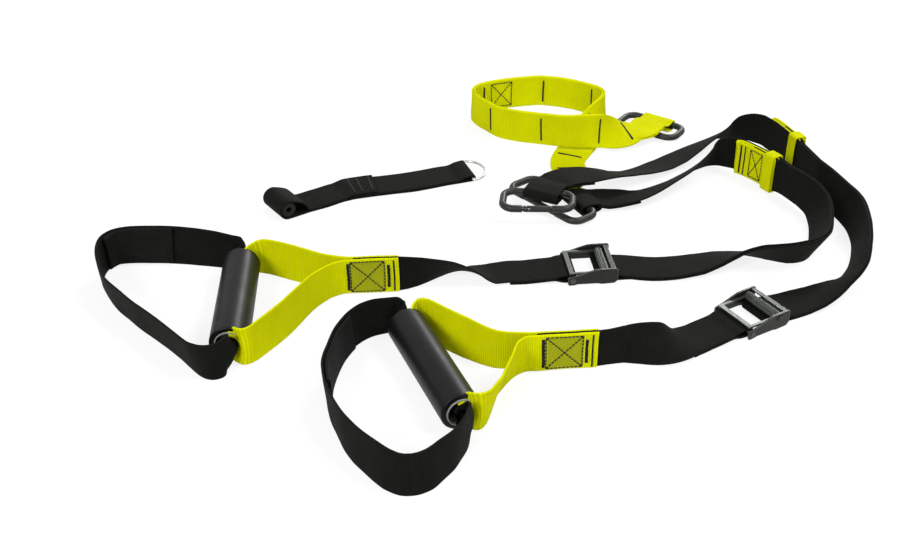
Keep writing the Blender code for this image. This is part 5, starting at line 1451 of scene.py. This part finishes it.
def ring_piece(label, length, seat):
    """Open ring with its tang, the gate, its pin and spring."""
    outline = ring_outline(length)
    gate_from, gate_to = outline[-1], outline[0]
    side = (gate_to - gate_from).normalized()
    run = (gate_to - gate_from).length
    nose = gate_from + side * run * (1 - GATE_STOP_SHARE)
    hinge = gate_from + side * run * (1 - GATE_START_SHARE)
    pivot = hinge - side * TANG_REACH
    turn = Matrix.Translation(pivot) @ Matrix.Rotation(math.atan2(side.y, side.x), 4, "Z")
    ring = swept_rod("ring", [hinge] + outline + [nose], ROD_DIAMETER / 2, resolution=8)
    tang = box("tang", (-TANG_END, -TANG_HALF_WIDTH, -TANG_THICKNESS / 2),
               (TANG_REACH + ROD_DIAMETER / 4, TANG_HALF_WIDTH, TANG_THICKNESS / 2))
    tang.matrix_world = turn
    link(tang)
    bevelled(ring, *RING_EDGE)
    combine(ring, tang, "UNION")
    piece = settled(ring, seat)
    bpy.data.objects.remove(tang, do_unlink=True)
    show(piece, "carabiner_" + label, "rings")

    gate_length = (pivot - nose).length
    end = GATE_END_GAP - gate_length
    radius = GATE_DIAMETER / 2
    gate = turned("gate", rounded(ends(end, GATE_CHEEK, 0, radius, False), GATE_CORNER), 48)
    slot_depth = math.hypot(TANG_END, TANG_HALF_WIDTH) + GATE_SIDE_GAP
    slot = box("slot", (-slot_depth, -GATE_DIAMETER, -TANG_THICKNESS / 2 - GATE_SIDE_GAP),
               (TANG_REACH + GATE_CHEEK, GATE_DIAMETER, TANG_THICKNESS / 2 + GATE_SIDE_GAP))
    link(slot)
    combine(gate, slot, "DIFFERENCE")
    piece = settled(gate, seat @ turn)
    bpy.data.objects.remove(slot, do_unlink=True)
    show(piece, "gate_" + label, "rings")
    pin = turned("pin", rounded(ends(-radius, radius, 0, GATE_PIN_DIAMETER / 2, False), GATE_PIN_CORNER), 32)
    show(settled(pin, seat @ turn @ Matrix.Rotation(math.radians(90), 4, "Y")), "gate_pin_" + label, "zinc")
    spring_length = GATE_SPRING_PITCH * GATE_SPRING_CURLS + GATE_SPRING_WIRE
    coil = helix(GATE_SPRING_RADIUS, GATE_SPRING_PITCH, GATE_SPRING_CURLS, COIL_POINTS)
    spring = swept_rod("coil", coil, GATE_SPRING_WIRE / 2)
    seat_of = seat @ turn @ Matrix.Translation((-slot_depth - spring_length / 2, 0, 0))
    show(settled(spring, seat_of), "gate_spring_" + label, "bright")


ring_piece("1", CARABINER_LENGTH, carabiner_1)
ring_piece("2", LONG_CARABINER_LENGTH, carabiner_2)
ring_piece("3", CARABINER_LENGTH, carabiner_3)


# Build: buckles. Frames and levers keep their CAD shapes, with softened edges

def carried(node, look, edge):
    """A node's own CAD shape, with soft edges and a look."""
    obj = frame["nodes"][node]
    obj.modifiers.new("weld", "WELD").merge_threshold = WELD
    bevelled(obj, *edge)
    obj.data.materials.clear()
    obj.data.materials.append(LOOKS[look])


def buckle(side, seat):
    """The bar, pin and spring of a buckle, beside the two pieces that keep their CAD shapes."""
    carried("buckle_frame_" + side, "frame", FRAME_EDGE)
    carried("cam_lever_" + side, "cam", CAM_EDGE)
    quarter = Matrix.Rotation(math.radians(90), 4, "Z")
    bar_reach = PLATE_OUTSIDE + BAR_HEAD
    bar = turned("bar", rounded(ends(-bar_reach, bar_reach, 0, BAR_DIAMETER / 2, False), BAR_CORNER), 48)
    show(settled(bar, seat @ Matrix.Translation((BAR_X, 0, BAR_Z)) @ quarter), "buckle_bar_" + side, "cam")
    reach = PLATE_OUTSIDE + HOLE_FIT
    head, thin = PIN_HEAD_DIAMETER / 2, PIN_DIAMETER / 2
    far = reach + PIN_HEAD_HEIGHT
    outline = ((-far, 0, False), (-far, head, True), (-reach, head, False), (-reach, thin, False),
               (reach, thin, False), (reach, head, False), (far, head, True), (far, 0, False))
    pin = turned("pin", rounded(outline, BAR_CORNER), 48)
    show(settled(pin, seat @ Matrix.Translation((PIN_X, 0, PIN_Z)) @ quarter), "cam_pin_" + side, "frame")
    pocket = SPRING_PITCH * SPRING_CURLS + SPRING_WIRE + 2 * SPRING_POCKET_FIT
    coil = swept_rod("coil", helix(SPRING_RADIUS, SPRING_PITCH, SPRING_CURLS, COIL_POINTS), SPRING_WIRE / 2)
    seat_of = seat @ Matrix.Translation((PIN_X, pocket / 2 - CAM_HALF, PIN_Z)) @ quarter
    show(settled(coil, seat_of), "cam_spring_" + side, "bright")


buckle("l", buckle_l)
buckle("r", buckle_r)


# Build: webbing

box_l = handle("l", grip_l, HANDLE_L_FAR_SHARES, HANDLE_L_NEAR_SHARES, BOX_L_SHARES)
box_r = handle("r", grip_r, HANDLE_R_FAR_SHARES, HANDLE_R_NEAR_SHARES, BOX_R_SHARES)
cradle("l", grip_l, CRADLE_L_ROUTE_SHARES, PAD_L_SPAN_SHARES)
cradle("r", grip_r, CRADLE_R_ROUTE_SHARES, PAD_R_SPAN_SHARES)
lower_strap("l", box_l, LOWER_L_ROUTE_SHARES, buckle_l)
lower_strap("r", box_r, LOWER_R_ROUTE_SHARES, buckle_r)
upper_l = upper_strap("l", buckle_l, UPPER_L_ROUTE_SHARES, FREE_L_ROUTE_SHARES,
                      rod_loop(carabiner_2, LONG_CARABINER_LENGTH * STRAP_2_LOOP_SHARE, STRAP_2_SKEW), 1)
upper_r = upper_strap("r", buckle_r, UPPER_R_ROUTE_SHARES, FREE_R_ROUTE_SHARES,
                      rod_loop(carabiner_1, CARABINER_LENGTH * STRAP_1_LOOP_SHARE, STRAP_1_SKEW), -1)
tab("l", upper_l, 1)
tab("r", upper_r, -1)
anchor()


def door_anchor_look():
    """Roller, ring and the webbing doubled round both."""
    roller_seat = FLOOR_GAP + WEBBING_THICKNESS + LOOP_CLEARANCE + ROLLER_DIAMETER / 2
    seat = seat_at(ROLLER_PLACE_SHARE, ROLLER_YAW, roller_seat)
    half = ROLLER_LENGTH / 2
    outer, inner = ROLLER_DIAMETER / 2, ROLLER_BORE / 2
    outline = rounded(ends(-half, half, inner, outer, True), FOAM_CORNER)
    crosswise = seat @ Matrix.Rotation(math.radians(90), 4, "Z")
    roller = turned_piece("door_roller", outline, crosswise, "foam", 64)
    ring_height = FLOOR_GAP + WEBBING_THICKNESS + LOOP_CLEARANCE + RING_WIRE / 2
    ring_seat = seat_at(RING_PLACE_SHARE, RING_YAW, ring_height)
    span = RING_INNER_WIDTH / 2 + RING_WIRE / 2
    corner = RING_CORNER
    points = [Vector((0, corner - span, 0)), Vector((0, span - corner, 0))]
    for k in range(RING_PARTS * 3 + 1):
        turn = math.radians(90 - 60 * k / RING_PARTS)
        points.append(Vector((corner + (RING_DEPTH - corner) * math.cos(turn), span * math.sin(turn), 0)))
    ring = swept_rod("ring", points, RING_WIRE / 2, closed=True, resolution=6)
    show(settled(ring, ring_seat), "door_ring", "bright")
    lower = smooth_route(route(DOOR_ROUTE_SHARES))
    total = length_of(lower)
    heading = seat.to_3x3() @ Vector((-1, 0, 0))
    wrap = loop_round(seat.translation, heading, ROLLER_DIAMETER / 2 + LOOP_ROOM, PLY_STEP,
                      ROLLER_DIAMETER * 1.5, roller_seat - LOWER_PLY_Z - PLY_STEP / 2)
    heading = ring_seat.to_3x3() @ Vector((1, 0, 0))
    turn = loop_round(ring_seat.translation, heading, RING_WIRE / 2 + LOOP_ROOM, PLY_STEP,
                      LOOP_NECK, ring_height - LOWER_PLY_Z - PLY_STEP / 2)
    join = total * DOOR_SEAM_SHARE
    overlap = shifted(cut(lower, join, join + SEAM_LENGTH), 2 * PLY_STEP)
    first = shifted(cut(lower, join, total), PLY_STEP)
    last = shifted(cut(lower, 0, join - TAB_STEP_LENGTH), PLY_STEP)
    rows = joined(onward(first, turn), back(lower))
    ribbon("door_strap", joined(onward(rows, back(wrap)), last, overlap), BLACK_WEBBING)
    return lower, join


door_lower, door_join = door_anchor_look()


# Build: stitching

class Sewn:
    """The outer face of a strap's end, with distances counted back from that end."""

    def __init__(self, rows, other, from_start):
        self.face = Face(rows, 1)
        self.from_start = from_start
        spot, out = self.at(SEWN_PROBE, 0)
        if out.dot(spot - other) < 0:
            self.face = Face(rows, -1)

    def at(self, reach, across):
        return self.face.at(reach if self.from_start else self.face.length - reach, across)


def handle_stitching(side):
    """Box, bars and line on the outer face of each yellow end."""
    rows = PLY_ROWS["handle_strap_" + side]
    threads = Threads()
    for other, from_start in ((rows[-1].point, True), (rows[0].point, False)):
        face = Sewn(rows, other, from_start)
        box_x(threads, face, BOX_START, BOX_END, BOX_HALF)
        for bar in HANDLE_BARS:
            bartack(threads, face, *bar)
    threads.show("stitching", "handle_strap_" + side, "navy_thread")


def tab_stitching(side, shared, tail_side):
    """Box and bars on both faces of a tab."""
    threads = Threads()
    total = length_of(shared)
    held = cut(shared, total - TAB_LENGTH, total - TAB_STEP_LENGTH)
    step = PLY_STEP * tail_side
    length = length_of(held)
    for offset, out in ((step * OUTER_PLY_STEPS, tail_side), (step / 2, -tail_side)):
        face = Face(shifted(held, offset), out)
        box_x(threads, face, *TAB_BOX, TAB_BOX_HALF)
        for reach, height, width in TAB_BARS:
            bartack(threads, face, length - reach, height, width)
    threads.show("stitching", "adjuster_tab_" + side, "navy_thread")


def anchor_stitching():
    """Bars along both faces of the anchor strap, and the box where its ends are sewn together."""
    line = smooth_route(route(ANCHOR_ROUTE_SHARES, plies=2))
    threads = Threads()
    total = length_of(line)
    start, end = (total * share for share in ANCHOR_BOX_SHARES)
    for face in (Face(line, 1, PLY_STEP / 2), Face(line, -1, PLY_STEP / 2)):
        for share in ANCHOR_BAR_SHARES:
            bartack(threads, face, total * share, ANCHOR_BAR_HEIGHT, ANCHOR_BAR_WIDTH)
        box_x(threads, face, start, end, ANCHOR_BOX_HALF)
    threads.show("stitching", "anchor_strap", "navy_thread")


def loop_stitching(node):
    """Bars through a sewn loop's plies, counted from the strap's last row."""
    rows = PLY_ROWS[node]
    threads = Threads()
    for face in (Face(rows, 1), Face(rows, -1)):
        for reach, height, width in LOOP_BARS:
            bartack(threads, face, face.length - reach, height, width)
    threads.show("stitching", node, "black_thread")


def door_stitching():
    """Bars on the upper face of the door strap's seam."""
    threads = Threads()
    upward = 1 if facing(door_lower, len(door_lower) // 2).z > 0 else -1
    face = Face(shifted(door_lower, 2 * PLY_STEP), upward)
    for reach, height, width in DOOR_BARS:
        bartack(threads, face, door_join + reach, height, width)
    threads.show("stitching", "door_strap", "black_thread")


handle_stitching("l")
handle_stitching("r")
tab_stitching("l", upper_l, 1)
tab_stitching("r", upper_r, -1)
anchor_stitching()
for node in ("lower_strap_l", "lower_strap_r", "upper_strap_l", "upper_strap_r"):
    loop_stitching(node)
door_stitching()


# Camera, floor and light

EYE_DISTANCE = 1.21
EYE_DEGREES = 33.0
FOCAL_PIXELS = 1250.0
PHOTO_PIXELS = 921.0
SENSOR_WIDTH = 36.0
CLIP_NEAR = 0.01
CLIP_FAR = 50.0
FLOOR_REACH = 4.0
BOUNCED_TONE = (0.80, 0.80, 0.80, 1)
SEEN_TONE = (0.22, 0.22, 0.22, 1)
FLOOR_GLOW = 0.83
BOUNCED_WORLD = 0.32
SEEN_WORLD = 1.0

# Lamps: name, place, size in metres and power in watts
LAMPS = (
    ("key", (-1.9, -2.5, 2.1), 1.3, 76), ("shine", (1.1, 2.9, 1.7), 0.7, 50),
    ("top", (1.6, -0.4, 2.4), 1.0, 40), ("right", (1.4, -3.2, 1.8), 1.6, 14),
)


def camera():
    """The eye from which the photograph was taken."""
    data = bpy.data.cameras.new("camera")
    data.sensor_width = SENSOR_WIDTH
    data.lens = data.sensor_width * FOCAL_PIXELS / PHOTO_PIXELS
    data.clip_start, data.clip_end = CLIP_NEAR, CLIP_FAR
    eye = bpy.data.objects.new("camera", data)
    link(eye)
    dip = math.radians(EYE_DEGREES)
    away = Vector((0, -math.cos(dip), math.sin(dip))) * EYE_DISTANCE
    eye.location = ORIGIN.translation + away
    eye.rotation_euler = (math.radians(90) - dip, 0, 0)
    bpy.context.scene.camera = eye


def visible_share(tree):
    """1 for what the camera, a reflection or a glass sees, and 0 for light that bounces."""
    path = tree.nodes.new("ShaderNodeLightPath")
    seen = path.outputs["Is Camera Ray"]
    for name in ("Is Glossy Ray", "Is Transmission Ray"):
        more = tree.nodes.new("ShaderNodeMath")
        more.operation = "MAXIMUM"
        tree.links.new(seen, more.inputs[0])
        tree.links.new(path.outputs[name], more.inputs[1])
        seen = more.outputs[0]
    return seen


def floor():
    """A white floor, which glows where the camera sees it and is plain white for light that bounces."""
    mesh = bpy.data.meshes.new("stage_floor")
    corners = [(x * FLOOR_REACH, y * FLOOR_REACH, 0) for x, y in ((-1, -1), (1, -1), (1, 1), (-1, 1))]
    mesh.from_pydata(corners, [], [(0, 1, 2, 3)])
    obj = bpy.data.objects.new("stage_floor", mesh)
    link(obj)
    material = bpy.data.materials.new("stage_floor")
    material.use_nodes = True
    tree = material.node_tree
    tree.nodes.remove(tree.nodes["Principled BSDF"])
    seen = visible_share(tree)
    diffuse = tree.nodes.new("ShaderNodeBsdfDiffuse")
    tone = tree.nodes.new("ShaderNodeMix")
    tone.data_type = "RGBA"
    tone.inputs[6].default_value = BOUNCED_TONE
    tone.inputs[7].default_value = SEEN_TONE
    tree.links.new(seen, tone.inputs[0])
    tree.links.new(tone.outputs[2], diffuse.inputs[0])
    glow = tree.nodes.new("ShaderNodeEmission")
    level = tree.nodes.new("ShaderNodeMath")
    level.operation = "MULTIPLY"
    level.inputs[1].default_value = FLOOR_GLOW
    tree.links.new(seen, level.inputs[0])
    tree.links.new(level.outputs[0], glow.inputs["Strength"])
    both = tree.nodes.new("ShaderNodeAddShader")
    tree.links.new(diffuse.outputs[0], both.inputs[0])
    tree.links.new(glow.outputs[0], both.inputs[1])
    tree.links.new(both.outputs[0], tree.nodes["Material Output"].inputs[0])
    obj.data.materials.append(material)


def world():
    """White all round: full where it is seen, and weaker as light."""
    made = bpy.data.worlds.new("world")
    made.use_nodes = True
    bpy.context.scene.world = made
    tree = made.node_tree
    back_light = tree.nodes["Background"]
    back_light.inputs[0].default_value = (1, 1, 1, 1)
    seen = visible_share(tree)
    level = tree.nodes.new("ShaderNodeMapRange")
    tree.links.new(seen, level.inputs[0])
    level.inputs[3].default_value = BOUNCED_WORLD
    level.inputs[4].default_value = SEEN_WORLD
    tree.links.new(level.outputs[0], back_light.inputs[1])


def lamp(name, place_at, size, power):
    """A round lamp that shines at the middle of the floor."""
    data = bpy.data.lights.new(name, "AREA")
    data.shape = "DISK"
    data.size = size
    data.energy = power
    obj = bpy.data.objects.new(name, data)
    link(obj)
    obj.location = place_at
    obj.rotation_euler = (-Vector(place_at)).to_track_quat("-Z", "Y").to_euler()


floor()
camera()
world()
for lamp_row in LAMPS:
    lamp(*lamp_row)

bpy.context.scene.view_settings.view_transform = "Standard"
